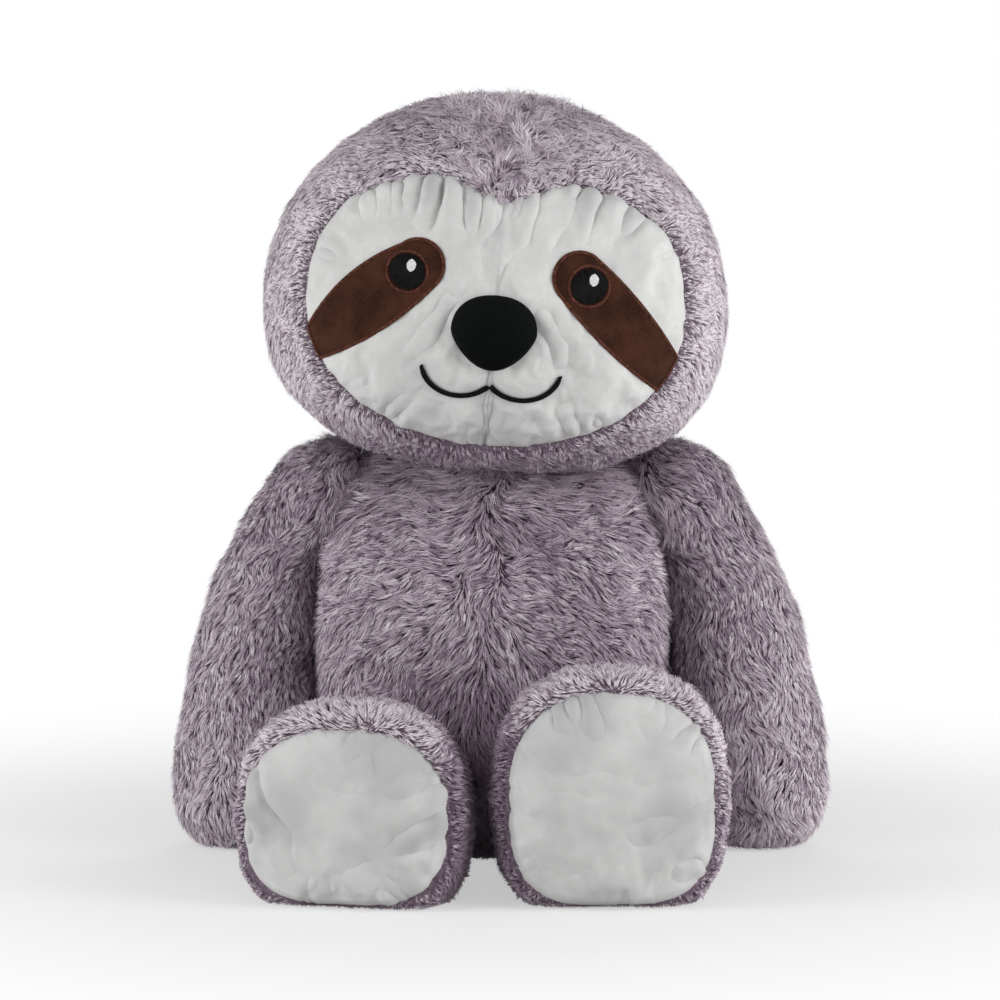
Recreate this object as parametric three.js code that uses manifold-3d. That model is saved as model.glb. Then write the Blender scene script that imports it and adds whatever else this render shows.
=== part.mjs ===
// Weighted plush sloth, seated, with its sewn covers, stuffing and bead bags as separate solids.
// Millimetres, +Z up, facing -Y. The origin is on the floor under the middle of the seat.
// Left and right are the toy's own sides, so left is +X.

import * as THREE from "three";
import { mergeVertices } from "three/addons/utils/BufferGeometryUtils.js";
import Module from "manifold-3d";

const wasm = await Module();
wasm.setup();

// Cloth thicknesses and the gaps between pieces
const furThickness = 5;
const smoothThickness = 2.4;
const feltThickness = 1.2;
const threadThickness = 0.8;
const bagThickness = 1.2;
const layerGap = 0.3;
const turningGap = 0.4;
const sideGap = 0.8;
const floorCut = 0.5;

// Torso: a pear that is widest at the belly and closes under the neck
const torsoHalfWidth = 94;
const torsoAside = -5;
const torsoFront = 88;
const torsoBack = 78;
const torsoHeight = 202;
const bellyHeight = 55;
const seatFullness = 5;
const flankFullness = 5;
const chestFullness = 2.2;
const backFullness = 2.6;
const baseSeamHeight = 24;

// Neck: a rounded stub on the torso that turns in the head
const neckRadius = 50;
const neckRise = 28;
const neckBack = 5;
const neckLean = -7;
const neckHoleRadius = 24;
const neckThreadRadius = 1.2;

// Head, placed from the neck's pivot
const headHalfWidth = 119;
const headRise = 58;
const headAbove = 106;
const headBelow = 85;
const headFront = 92;
const headBack = 92;
const headForward = 23;
const crownFullness = 2;
const jowlFullness = 2.5;
const faceFlatness = 2.3;
const hoodSeamBack = 12;
const headTilt = 4.7;

// Face outline, in the head's front view, measured from the nose
const noseBelowCentre = 10.5;
const faceHalfWidth = 98;
const faceHalfHeight = 70;
const faceAboveNose = 8.7;
const faceFullness = { above: 2.7, below: 2 };
const peakDrop = 13;
const peakHalfWidth = 34;
const peakSharpness = 1.2;

// Face details
const noseHalfWidth = 22.4;
const noseHalfHeight = 19.5;
const noseProud = 10;
const noseNarrowing = 0.28;
const eyeSpacing = 46.1;
const eyeAboveNose = 27;
const pupilRadius = 9.3;
const glintRadius = 2.6;
const glintOffset = { x: 2, z: 3.2 };
const patchInner = { x: 41, z: 30.8, radius: 14 };
const patchOuter = {
  left: { x: 92.5, z: -18.5, radius: 9.3 },
  right: { x: 92.5, z: -16.8, radius: 7.8 },
};
const patchBow = {
  left: { above: 3.2, below: 2.5 },
  right: { above: 7, below: 4 },
};
const mouthPoints = [
  [0.9, -27.6],
  [15, -33.4],
  [27, -30.6],
  [35.3, -19.7],
];
const mouthWidth = 2.4;

// Arms, placed from the shoulder's pivot
const shoulderRadius = 31;
const shoulderBelowTop = 22;
const shoulderOutside = 9;
const armLean = 11;
const armBow = [14.5, 28.5, 37, 44];
const armDrop = [22, 55, 96, 138];
const upperArmRadius = 28;
const elbowRadius = 31;
const wristRadius = 34;
const armFlatness = 0.86;
const elbowShare = 0.45;
const wristShares = [0.3, 0.65];
const handRound = 34;
const handFullness = 3.2;
const sleeveHoleRadius = 9;
const sleeveHoleRise = 0.4;
const handBagLength = 74;

// Legs, placed from the hip's pivot
const hipRadius = 34;
const hipSpacing = 50;
const hipForward = 78;
const hipHeight = 42;
const thighRadius = 25;
const ankleRadius = 38;
const footHalfWidth = 55.5;
const legLength = 135;
const footDepth = 44;
const soleRound = 20;
const soleFullness = 2.6;
const soleRim = 4;
const footSquareness = { above: 2.5, below: 3.2 };
const calfShare = 0.5;
const footShares = [0.3, 0.72];
const ankleAlong = 0.5;
const ankleRise = 0.15;
const footBagLength = 46;
const soleAboveFloor = 3;
const legPose = {
  left: { splay: 2.5, lean: 6, footHalfHeight: 57.5, collar: 4 },
  right: { splay: 12.5, lean: 8, footHalfHeight: 48.5, collar: 7 },
};

// Bead bag in the seat
const seatBagHalfWidth = 60;
const seatBagHalfDepth = 46;
const seatBagHalfHeight = 27;
const seatBagBack = 12;
const fillingHoleRadius = 4;
const fillingHoleReach = 8;

// Counts of rings and sides
const torsoDetail = { rings: 13, sides: 24 };
const headDetail = { rings: 14, sides: 28 };
const limbDetail = { rings: 11, sides: 14 };
const innerDetail = { rings: 7, sides: 12 };
const limbInnerDetail = { rings: 6, sides: 8 };
const ballDetail = { sides: 12, rows: 8 };
const socketDetail = { sides: 12, rows: 7 };
const seatBagDetail = { sides: 18, rows: 9 };
const noseDetail = { sides: 18, rows: 8 };
const threadDetail = { sides: 5, steps: 24 };
const outlineSteps = { face: 56, pupil: 20, glint: 12, mouth: 14 };
const patchSteps = { inner: 12, outer: 8, flank: 5 };
const barSides = 14;
const holeSides = 10;
const soleSides = 28;

const cloth = (color) => new THREE.MeshStandardMaterial({ color, roughness: 0.9, metalness: 0 });
const materials = {
  fur: cloth(0x8d7b88),
  smooth: cloth(0xdedfdc),
  felt: cloth(0x4a2416),
  black: cloth(0x0d0f0e),
  white: cloth(0xf4f4f2),
  thread: cloth(0x6f6070),
  stuffing: cloth(0xf1eee6),
  bag: cloth(0xd9d5c8),
  beads: new THREE.MeshStandardMaterial({ color: 0xcfd8dc, roughness: 0.2, metalness: 0 }),
};

const radians = THREE.MathUtils.degToRad;
const mix = THREE.MathUtils.lerp;
const smoothBetween = (value, [from, to]) => THREE.MathUtils.smoothstep(value, from, to);

// Share of the full half size that is left at a share of the way from the widest place to the end.
// A fullness of 2 gives an ellipse, and more gives a fuller form.
function taper(share, fullness) {
  const lost = Math.min(1, Math.pow(Math.max(0, share), fullness));
  return Math.pow(1 - lost, 1 / fullness);
}

// Solids

function solidOf(geometry) {
  const bare = new THREE.BufferGeometry().setAttribute("position", geometry.getAttribute("position"));
  if (geometry.index) bare.setIndex(geometry.index);
  const merged = mergeVertices(bare, 1e-4);
  return new wasm.Manifold(
    new wasm.Mesh({
      numProp: 3,
      vertProperties: new Float32Array(merged.attributes.position.array),
      triVerts: new Uint32Array(merged.index.array),
    }),
  );
}

function geometryOf(solid) {
  const mesh = solid.getMesh();
  const geometry = new THREE.BufferGeometry();
  geometry.setAttribute("position", new THREE.BufferAttribute(mesh.vertProperties.slice(), 3));
  geometry.setIndex(new THREE.BufferAttribute(mesh.triVerts.slice(), 1));
  geometry.computeVertexNormals();
  return geometry;
}

const cut = (solid, ...tools) => tools.reduce((left, tool) => left.subtract(tool), solid);
const keep = (solid, ...tools) => tools.reduce((left, tool) => left.intersect(tool), solid);

const farAway = 1000;
const axisX = new THREE.Vector3(1, 0, 0);
const axisY = new THREE.Vector3(0, 1, 0);
const axisZ = new THREE.Vector3(0, 0, 1);

// The space between two corners. A missing corner value runs far away.
function block({ x = [-farAway, farAway], y = [-farAway, farAway], z = [-farAway, farAway] }) {
  const geometry = new THREE.BoxGeometry(x[1] - x[0], y[1] - y[0], z[1] - z[0]);
  geometry.translate((x[0] + x[1]) / 2, (y[0] + y[1]) / 2, (z[0] + z[1]) / 2);
  return solidOf(geometry);
}

function facetedSphere(centre, radius, { sides, rows }, turn) {
  const geometry = new THREE.SphereGeometry(radius, sides, rows);
  geometry.rotateY(turn);
  geometry.translate(centre.x, centre.y, centre.z);
  return solidOf(geometry);
}

// A ball has its corners at the given radius, and a socket its flats, so that a ball turns inside one.
// The socket is half a side and half a row out of step, so a corner of the ball meets the middle of a flat.
const flatShare = ({ sides, rows }) => Math.cos(Math.PI / sides) * Math.cos(Math.PI / (2 * rows));
const ball = (centre, radius) => facetedSphere(centre, radius, ballDetail, 0);
const socket = (centre, radius) =>
  facetedSphere(centre, radius / flatShare(socketDetail), socketDetail, Math.PI / socketDetail.sides);

// The radius inside a ball's cloth that stays clear at every turn of a ball of stuffing.
const insideRadius = (radius) => radius * flatShare(ballDetail) - furThickness;

// A bar along a direction, from a point on, whose flats lie at the given radius.
function bar(from, direction, radius, length, sides = barSides) {
  const corner = radius / Math.cos(Math.PI / sides);
  const geometry = new THREE.CylinderGeometry(corner, corner, length, sides);
  geometry.translate(0, length / 2, 0);
  geometry.applyQuaternion(new THREE.Quaternion().setFromUnitVectors(axisY, direction.clone().normalize()));
  geometry.translate(from.x, from.y, from.z);
  return solidOf(geometry);
}

// The opening that a bead bag is filled through, around a point of its surface.
const fillingHoleAt = (place, direction) =>
  bar(
    place.clone().addScaledVector(direction, -fillingHoleReach),
    direction,
    fillingHoleRadius,
    2 * fillingHoleReach,
    holeSides,
  );

// Rings stacked along a path and closed by a point at each end. sizesAt gives each ring's half sizes:
// side along the fixed axis, and ahead and behind along the direction square to it and to the path.
// It may also say how square the ring is ahead and behind, where 2 is an ellipse.
function loft({ path, fixedAxis, sizesAt }, { rings, sides }, inset = 0) {
  const points = [];
  for (let i = 1; i <= rings; i++) {
    const share = (1 - Math.cos((Math.PI * i) / (rings + 1))) / 2;
    const centre = path.getPoint(share);
    const other = path.getTangent(share).cross(fixedAxis).normalize();
    const { side, ahead, behind, squareAhead = 2, squareBehind = 2 } = sizesAt(share);
    for (let j = 0; j < sides; j++) {
      const angle = (2 * Math.PI * j) / sides;
      const c = Math.cos(angle);
      const s = Math.sin(angle);
      const power = 2 / (s < 0 ? squareAhead : squareBehind);
      points.push(
        centre
          .clone()
          .addScaledVector(fixedAxis, side * Math.sign(c) * Math.pow(Math.abs(c), power))
          .addScaledVector(other, (s < 0 ? ahead : behind) * Math.sign(s) * Math.pow(Math.abs(s), power)),
      );
    }
  }
  const first = points.push(path.getPoint(0)) - 1;
  const last = points.push(path.getPoint(1)) - 1;
  const index = [];
  for (let j = 0; j < sides; j++) {
    const next = (j + 1) % sides;
    for (let i = 0; i + 1 < rings; i++) {
      const a = i * sides;
      const b = a + sides;
      index.push(a + j, a + next, b + next, a + j, b + next, b + j);
    }
    index.push(first, next, j);
    index.push(last, (rings - 1) * sides + j, (rings - 1) * sides + next);
  }
  const geometry = new THREE.BufferGeometry().setFromPoints(points);
  geometry.setIndex(index);
  return moveInwards(geometry, inset);
}

// Moves each vertex along its normal, which makes the parallel surface of a cloth's other face.
function moveInwards(geometry, inset) {
  geometry.computeVertexNormals();
  const place = geometry.attributes.position;
  const normal = geometry.attributes.normal;
  for (let i = 0; i < place.count; i++) {
    place.setXYZ(
      i,
      place.getX(i) - normal.getX(i) * inset,
      place.getY(i) - normal.getY(i) * inset,
      place.getZ(i) - normal.getZ(i) * inset,
    );
  }
  return geometry;
}

// Scene graph helpers

const toy = new THREE.Group();

function groupAt(parent, position, rotation = new THREE.Euler()) {
  const group = new THREE.Group();
  group.position.copy(position);
  group.rotation.copy(rotation);
  parent.add(group);
  group.updateMatrixWorld(true);
  return group;
}

function addPiece(group, name, solid, material) {
  const mesh = new THREE.Mesh(geometryOf(solid), material);
  mesh.name = name;
  group.add(mesh);
}

// A solid in a group's own frame, from one in the toy's frame.
const inFrameOf = (group, solid) => {
  const geometry = geometryOf(solid);
  geometry.applyMatrix4(group.matrixWorld.clone().invert());
  return solidOf(geometry);
};

// Torso

const torsoFrom = new THREE.Vector3(torsoAside, 0, -floorCut);
const torsoTo = new THREE.Vector3(torsoAside, 0, torsoHeight);

function torsoSizes(share) {
  const height = mix(torsoFrom.z, torsoTo.z, share);
  if (height < bellyHeight) {
    const left = taper((bellyHeight - height) / (bellyHeight - torsoFrom.z), seatFullness);
    return { side: torsoHalfWidth * left, ahead: torsoFront * left, behind: torsoBack * left };
  }
  const up = (height - bellyHeight) / (torsoHeight - bellyHeight);
  return {
    side: torsoHalfWidth * taper(up, flankFullness),
    ahead: torsoFront * taper(up, chestFullness),
    behind: torsoBack * taper(up, backFullness),
  };
}

const torsoShape = { path: new THREE.LineCurve3(torsoFrom, torsoTo), fixedAxis: axisX, sizesAt: torsoSizes };
const torsoForm = (detail, inset = 0) => solidOf(loft(torsoShape, detail, inset));
const shareAtHeight = (height) => (height - torsoFrom.z) / (torsoTo.z - torsoFrom.z);

const neckPivot = new THREE.Vector3(neckLean, neckBack, torsoHeight + neckRise);
const shoulderHeight = torsoHeight - shoulderBelowTop;
const shoulderSide = torsoSizes(shareAtHeight(shoulderHeight)).side + shoulderOutside;
const signs = { left: 1, right: -1 };
const shoulderPivot = (sign) => new THREE.Vector3(sign * shoulderSide, neckBack, shoulderHeight);
const hipPivot = (sign) => new THREE.Vector3(sign * hipSpacing, -hipForward, hipHeight);
const neckFillRadius = insideRadius(neckRadius) - layerGap;

const limbSockets = (extra) =>
  Object.values(signs).flatMap((sign) => [
    socket(shoulderPivot(sign), shoulderRadius + turningGap + extra),
    socket(hipPivot(sign), hipRadius + turningGap + extra),
  ]);

function seatBagForm(inset) {
  const geometry = new THREE.SphereGeometry(1, seatBagDetail.sides, seatBagDetail.rows);
  geometry.scale(seatBagHalfWidth - inset, seatBagHalfDepth - inset, seatBagHalfHeight - inset);
  geometry.translate(torsoAside, seatBagBack, seatBagHalfHeight);
  return solidOf(geometry);
}

function addTorso() {
  const group = groupAt(toy, new THREE.Vector3());
  const above = block({ z: [0, farAway] });
  const outside = keep(torsoForm(torsoDetail), above).add(ball(neckPivot, neckRadius));
  const inside = torsoForm(innerDetail, furThickness).add(socket(neckPivot, insideRadius(neckRadius)));
  const neckHole = bar(neckPivot, axisZ, neckHoleRadius, 2 * neckRadius);
  const cover = cut(outside, inside, neckHole, ...limbSockets(0));

  const seam = layerGap / 2;
  const leftSide = { x: [torsoAside + seam, farAway] };
  const rightSide = { x: [-farAway, torsoAside - seam] };
  const frontSide = { y: [-farAway, neckBack - seam] };
  const backSide = { y: [neckBack + seam, farAway] };
  const upper = { z: [baseSeamHeight + seam, farAway] };
  const panels = {
    torso_front_left: { ...leftSide, ...frontSide, ...upper },
    torso_front_right: { ...rightSide, ...frontSide, ...upper },
    torso_back_left: { ...leftSide, ...backSide, ...upper },
    torso_back_right: { ...rightSide, ...backSide, ...upper },
    torso_base: { z: [-farAway, baseSeamHeight - seam] },
  };
  for (const [name, space] of Object.entries(panels)) {
    addPiece(group, name, keep(cover, block(space)), materials.fur);
  }

  const stuffingSpace = furThickness + layerGap;
  const stuffing = cut(
    torsoForm(innerDetail, stuffingSpace),
    socket(neckPivot, neckFillRadius + layerGap),
    seatBagForm(-layerGap),
    ...limbSockets(layerGap),
  );
  addPiece(group, "torso_stuffing", stuffing, materials.stuffing);

  const bagAt = (inset) => {
    const inTorso = keep(seatBagForm(inset), torsoForm(innerDetail, stuffingSpace + inset));
    return cut(inTorso, ...limbSockets(layerGap + inset));
  };
  const bagTop = new THREE.Vector3(torsoAside, seatBagBack, 2 * seatBagHalfHeight);
  const fillingHole = fillingHoleAt(bagTop, axisZ);
  addPiece(group, "seat_bead_bag", cut(bagAt(0), bagAt(bagThickness), fillingHole), materials.bag);
  addPiece(group, "seat_beads", bagAt(bagThickness + layerGap), materials.beads);
}

// Neck: the thread ring that binds the neck opening, and the firm stuffing that the head rocks on

function addNeck() {
  const group = groupAt(toy, neckPivot);
  const ringRadius = neckHoleRadius - layerGap - neckThreadRadius;
  const ringDistance = neckRadius - furThickness / 2;
  const ring = new THREE.TorusGeometry(ringRadius, neckThreadRadius, threadDetail.sides, threadDetail.steps);
  ring.translate(0, 0, Math.sqrt(ringDistance ** 2 - ringRadius ** 2));
  addPiece(group, "neck_seam_thread", solidOf(ring), materials.thread);
  addPiece(group, "neck_stuffing", ball(new THREE.Vector3(), neckFillRadius), materials.stuffing);
}

// Head, in a frame at the neck's pivot

const headCentre = new THREE.Vector3(0, -headForward, headRise);
const noseCentre = new THREE.Vector2(0, headCentre.z - noseBelowCentre);

function headSizes(share) {
  const height = mix(-headBelow, headAbove, share);
  const up = height / headAbove;
  const down = -height / headBelow;
  const wide = height < 0 ? taper(down, jowlFullness) : taper(up, crownFullness);
  const side = headHalfWidth * wide;
  return { side, ahead: headFront * wide, behind: headBack * wide, squareAhead: faceFlatness };
}

const headShape = {
  path: new THREE.LineCurve3(
    headCentre.clone().addScaledVector(axisZ, -headBelow),
    headCentre.clone().addScaledVector(axisZ, headAbove),
  ),
  fixedAxis: axisX,
  sizesAt: headSizes,
};
const headForm = (detail, inset = 0) => solidOf(loft(headShape, detail, inset));

// A solid bar in front of the head whose section is an outline in the front view.
function frontPrism(outline) {
  const shape = new THREE.Shape(outline.map(([x, z]) => new THREE.Vector2(x, z)));
  const depth = 2 * headFront;
  const geometry = new THREE.ExtrudeGeometry(shape, { depth, bevelEnabled: false });
  geometry.rotateX(Math.PI / 2);
  geometry.translate(noseCentre.x, headCentre.y, noseCentre.y);
  return solidOf(geometry);
}

// The face's edge: a full oval whose top dips to a peak in the middle.
function faceOutline(grow) {
  return Array.from({ length: outlineSteps.face }, (_, i) => {
    const angle = (2 * Math.PI * i) / outlineSteps.face;
    const c = Math.cos(angle);
    const s = Math.sin(angle);
    const power = 2 / (s > 0 ? faceFullness.above : faceFullness.below);
    const x = (faceHalfWidth + grow) * Math.sign(c) * Math.pow(Math.abs(c), power);
    const z = (faceHalfHeight + grow) * Math.sign(s) * Math.pow(Math.abs(s), power);
    const dip = s > 0 ? peakDrop * Math.pow(Math.max(0, 1 - Math.abs(x) / peakHalfWidth), peakSharpness) : 0;
    return [x, z + faceAboveNose - dip];
  });
}

function circleOutline(x, z, radius, steps) {
  return Array.from({ length: steps }, (_, i) => {
    const angle = (2 * Math.PI * i) / steps;
    return [x + radius * Math.cos(angle), z + radius * Math.sin(angle)];
  });
}

// An eye patch: a round inner end, a narrower outer end, and two bowed flanks.
function patchOutline(name, sign) {
  const outer = patchOuter[name];
  const bow = patchBow[name];
  const along = Math.atan2(outer.z - patchInner.z, outer.x - patchInner.x);
  const arc = ({ x, z, radius }, from, to, steps) =>
    Array.from({ length: steps + 1 }, (_, i) => {
      const angle = along + mix(from, to, i / steps);
      return [x + radius * Math.cos(angle), z + radius * Math.sin(angle)];
    });
  const flank = (turn, rise) =>
    Array.from({ length: patchSteps.flank }, (_, i) => {
      const share = (i + 1) / (patchSteps.flank + 1);
      const reach = mix(outer.radius, patchInner.radius, share) + rise * 4 * share * (1 - share);
      const x = mix(outer.x, patchInner.x, share) + Math.cos(along + turn) * reach;
      return [x, mix(outer.z, patchInner.z, share) + Math.sin(along + turn) * reach];
    });
  const points = [
    ...arc(patchInner, Math.PI / 2, (3 * Math.PI) / 2, patchSteps.inner),
    ...flank(-Math.PI / 2, bow.below).reverse(),
    ...arc(outer, -Math.PI / 2, Math.PI / 2, patchSteps.outer),
    ...flank(Math.PI / 2, bow.above),
  ];
  return sign > 0 ? points : points.map(([x, z]) => [-x, z]).reverse();
}

function mouthOutline(sign) {
  const curve = new THREE.SplineCurve(mouthPoints.map(([x, z]) => new THREE.Vector2(x, z)));
  const edge = (offset) =>
    Array.from({ length: outlineSteps.mouth + 1 }, (_, i) => {
      const place = curve.getPoint(i / outlineSteps.mouth);
      const along = curve.getTangent(i / outlineSteps.mouth);
      return [place.x - along.y * offset, place.y + along.x * offset];
    });
  const points = [...edge(-mouthWidth / 2), ...edge(mouthWidth / 2).reverse()].map(([x, z]) => [
    Math.max(x, layerGap / 2),
    z,
  ]);
  return sign > 0 ? points : points.map(([x, z]) => [-x, z]).reverse();
}

// The nose: a dome that narrows downwards.
function noseForm(inset) {
  const geometry = new THREE.SphereGeometry(1, noseDetail.sides, noseDetail.rows);
  geometry.scale(noseHalfWidth - inset, noseProud - inset, noseHalfHeight - inset);
  const place = geometry.attributes.position;
  for (let i = 0; i < place.count; i++) {
    const low = Math.max(0, -place.getZ(i) / noseHalfHeight);
    place.setX(i, place.getX(i) * (1 - noseNarrowing * low));
  }
  return geometry;
}

function addHead() {
  const group = groupAt(toy, neckPivot, new THREE.Euler(0, radians(headTilt), 0));
  const neckSpace = socket(new THREE.Vector3(), neckRadius + turningGap);
  const seam = layerGap / 2;
  const leftSide = block({ x: [seam, farAway] });
  const rightSide = block({ x: [-farAway, -seam] });

  const inside = headForm(innerDetail, furThickness);
  const cover = cut(headForm(headDetail), inside, neckSpace, frontPrism(faceOutline(seam)));
  const seamAt = headCentre.y + hoodSeamBack;
  const front = block({ y: [-farAway, seamAt - seam] });
  const back = block({ y: [seamAt + seam, farAway] });
  addPiece(group, "hood_left", keep(cover, front, leftSide), materials.fur);
  addPiece(group, "hood_right", keep(cover, front, rightSide), materials.fur);
  addPiece(group, "head_back_left", keep(cover, back, leftSide), materials.fur);
  addPiece(group, "head_back_right", keep(cover, back, rightSide), materials.fur);

  const faceInset = furThickness - smoothThickness;
  const face = cut(keep(headForm(headDetail, faceInset), frontPrism(faceOutline(-seam))), inside);
  addPiece(group, "face_left", keep(face, leftSide), materials.smooth);
  addPiece(group, "face_right", keep(face, rightSide), materials.smooth);

  const stuffing = cut(headForm(innerDetail, furThickness + layerGap), neckSpace);
  addPiece(group, "head_stuffing", stuffing, materials.stuffing);

  addFaceDetails(group, faceInset);
}

// Each layer of cloth or embroidery lies between two surfaces that are parallel to the face.
function addFaceDetails(group, faceInset) {
  const levels = [faceInset - layerGap];
  levels.push(levels[0] - feltThickness);
  levels.push(levels[1] - layerGap, levels[1] - layerGap - threadThickness);
  levels.push(levels[3] - layerGap, levels[3] - layerGap - threadThickness);
  const surfaces = levels.map((level) => headForm(headDetail, level));
  const feltLayer = cut(surfaces[1], surfaces[0]);
  const pupilLayer = cut(surfaces[3], surfaces[2]);
  const glintLayer = cut(surfaces[5], surfaces[4]);
  const inFace = frontPrism(faceOutline(-layerGap));
  for (const [name, sign] of Object.entries(signs)) {
    const patch = keep(feltLayer, frontPrism(patchOutline(name, sign)), inFace);
    addPiece(group, `eye_patch_${name}`, patch, materials.felt);
    const eye = new THREE.Vector2(sign * eyeSpacing, eyeAboveNose);
    const pupil = circleOutline(eye.x, eye.y, pupilRadius, outlineSteps.pupil);
    addPiece(group, `pupil_${name}`, keep(pupilLayer, frontPrism(pupil)), materials.black);
    const shine = new THREE.Vector2(eye.x + glintOffset.x, eye.y + glintOffset.z);
    const glint = circleOutline(shine.x, shine.y, glintRadius, outlineSteps.glint);
    addPiece(group, `eye_glint_${name}`, keep(glintLayer, frontPrism(glint)), materials.white);
    addPiece(group, `mouth_${name}`, keep(feltLayer, frontPrism(mouthOutline(sign))), materials.black);
  }

  const noseDepth = headFront * taper(noseBelowCentre / headBelow, jowlFullness) - faceInset;
  const noseAt = (inset) => {
    const geometry = noseForm(inset);
    geometry.translate(noseCentre.x, headCentre.y - noseDepth, noseCentre.y);
    return solidOf(geometry);
  };
  addPiece(group, "nose_cover", cut(noseAt(0), noseAt(feltThickness), surfaces[0]), materials.black);
  addPiece(group, "nose_pad", cut(noseAt(feltThickness + layerGap), surfaces[0]), materials.stuffing);
}

// Lowest point of a geometry once a group has placed it.
function lowestPoint(geometry, group) {
  const placed = geometry.clone().applyMatrix4(group.matrixWorld);
  placed.computeBoundingBox();
  return placed.boundingBox.min.z;
}

// Arms, in a frame at the shoulder's pivot, hanging along -Z

function armShape(sign, length) {
  const stretch = (length - handRound) / armDrop[3];
  const points = armBow.map((bow, i) => new THREE.Vector3(sign * bow, 0, -armDrop[i] * Math.min(1, stretch)));
  const tip = new THREE.Vector3(sign * armBow[3], 0, -length);
  const path = new THREE.CatmullRomCurve3([new THREE.Vector3(), ...points, tip], false, "centripetal");
  const sizesAt = (share) => {
    const upper = mix(upperArmRadius, elbowRadius, smoothBetween(share, [0, elbowShare]));
    const radius = mix(upper, wristRadius, smoothBetween(share, wristShares));
    const handStart = 1 - handRound / length;
    const across = radius * taper((share - handStart) / (1 - handStart), handFullness);
    return { side: across * armFlatness, ahead: across, behind: across };
  };
  return { path, fixedAxis: axisY, sizesAt };
}

function addArm(name, sign) {
  const pivot = shoulderPivot(sign);
  const lean = new THREE.Euler(-radians(armLean), 0, 0);
  const group = groupAt(toy, pivot, lean);
  const trial = shoulderHeight / Math.cos(radians(armLean));
  const spare = lowestPoint(loft(armShape(sign, trial), limbDetail), group) + floorCut;
  const length = trial + spare / Math.cos(radians(armLean));
  const shape = armShape(sign, length);
  const armForm = (detail, inset) => solidOf(loft(shape, detail, inset));
  const centre = new THREE.Vector3();
  const floor = (height) => inFrameOf(group, block({ z: [-farAway, height] }));
  const sleeve = (detail, inset) => {
    const flank = torsoHalfWidth + sign * torsoAside + sideGap - shoulderSide + inset;
    const torsoSpace = block({ x: sign > 0 ? [-farAway, flank] : [-flank, farAway] });
    return cut(armForm(detail, inset), floor(inset), torsoSpace);
  };

  const outside = sleeve(limbDetail, 0).add(ball(centre, shoulderRadius));
  const inside = sleeve(limbInnerDetail, furThickness).add(socket(centre, insideRadius(shoulderRadius)));
  const towardsTorso = new THREE.Vector3(-sign, 0, sleeveHoleRise);
  const sleeveHole = bar(centre, towardsTorso, sleeveHoleRadius, 2 * shoulderRadius);
  const cover = cut(outside, inside, sleeveHole);
  const seam = layerGap / 2;
  addPiece(group, `arm_front_${name}`, keep(cover, block({ y: [-farAway, -seam] })), materials.fur);
  addPiece(group, `arm_back_${name}`, keep(cover, block({ y: [seam, farAway] })), materials.fur);

  const fillRadius = insideRadius(shoulderRadius) - layerGap;
  addPiece(group, `shoulder_stuffing_${name}`, ball(centre, fillRadius), materials.stuffing);
  const bagTop = handBagLength - length;
  const fits = (inset) => sleeve(limbInnerDetail, furThickness + inset);
  const stuffing = cut(
    keep(fits(layerGap), block({ z: [bagTop + layerGap, farAway] })),
    socket(centre, fillRadius + layerGap),
  );
  addPiece(group, `arm_stuffing_${name}`, stuffing, materials.stuffing);

  const bagAt = (inset) => keep(fits(layerGap + inset), block({ z: [-farAway, bagTop - inset] }));
  const mouth = shape.path.getPoint(1 - handBagLength / length);
  const fillingHole = fillingHoleAt(mouth.setZ(bagTop), axisZ);
  addPiece(group, `hand_bead_bag_${name}`, cut(bagAt(0), bagAt(bagThickness), fillingHole), materials.bag);
  addPiece(group, `hand_beads_${name}`, bagAt(bagThickness + layerGap), materials.beads);
}

// Legs, in a frame at the hip's pivot, lying along -Y

function legShape({ lean, footHalfHeight, collar }) {
  const footHeight = soleAboveFloor + (footHalfHeight - soleRim) * Math.cos(radians(lean)) - hipHeight;
  const facing = new THREE.Vector3(0, -Math.cos(radians(lean)), Math.sin(radians(lean)));
  const sole = new THREE.Vector3(0, -legLength, footHeight);
  const heel = sole.clone().addScaledVector(facing, -footDepth);
  const ankleHeight = Math.max(ankleRadius - hipHeight, footHeight * ankleRise);
  const ankle = new THREE.Vector3(0, heel.y * ankleAlong, ankleHeight);
  const path = new THREE.CatmullRomCurve3([new THREE.Vector3(), ankle, heel, sole], false, "centripetal");
  const sizesAt = (share) => {
    const calf = mix(thighRadius, ankleRadius, smoothBetween(share, [0, calfShare]));
    const flare = smoothBetween(share, footShares);
    const soleStart = 1 - soleRound / legLength;
    const end = taper((share - soleStart) / (1 - soleStart), soleFullness);
    const ahead = mix(calf, footHalfHeight, flare) * end;
    const behind = mix(calf, footHalfHeight + collar, flare) * end;
    const squareAhead = mix(2, footSquareness.below, flare);
    const squareBehind = mix(2, footSquareness.above, flare);
    return { side: mix(calf, footHalfWidth, flare) * end, ahead, behind, squareAhead, squareBehind };
  };
  return { path, fixedAxis: axisX, sizesAt, sole, facing };
}

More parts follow.
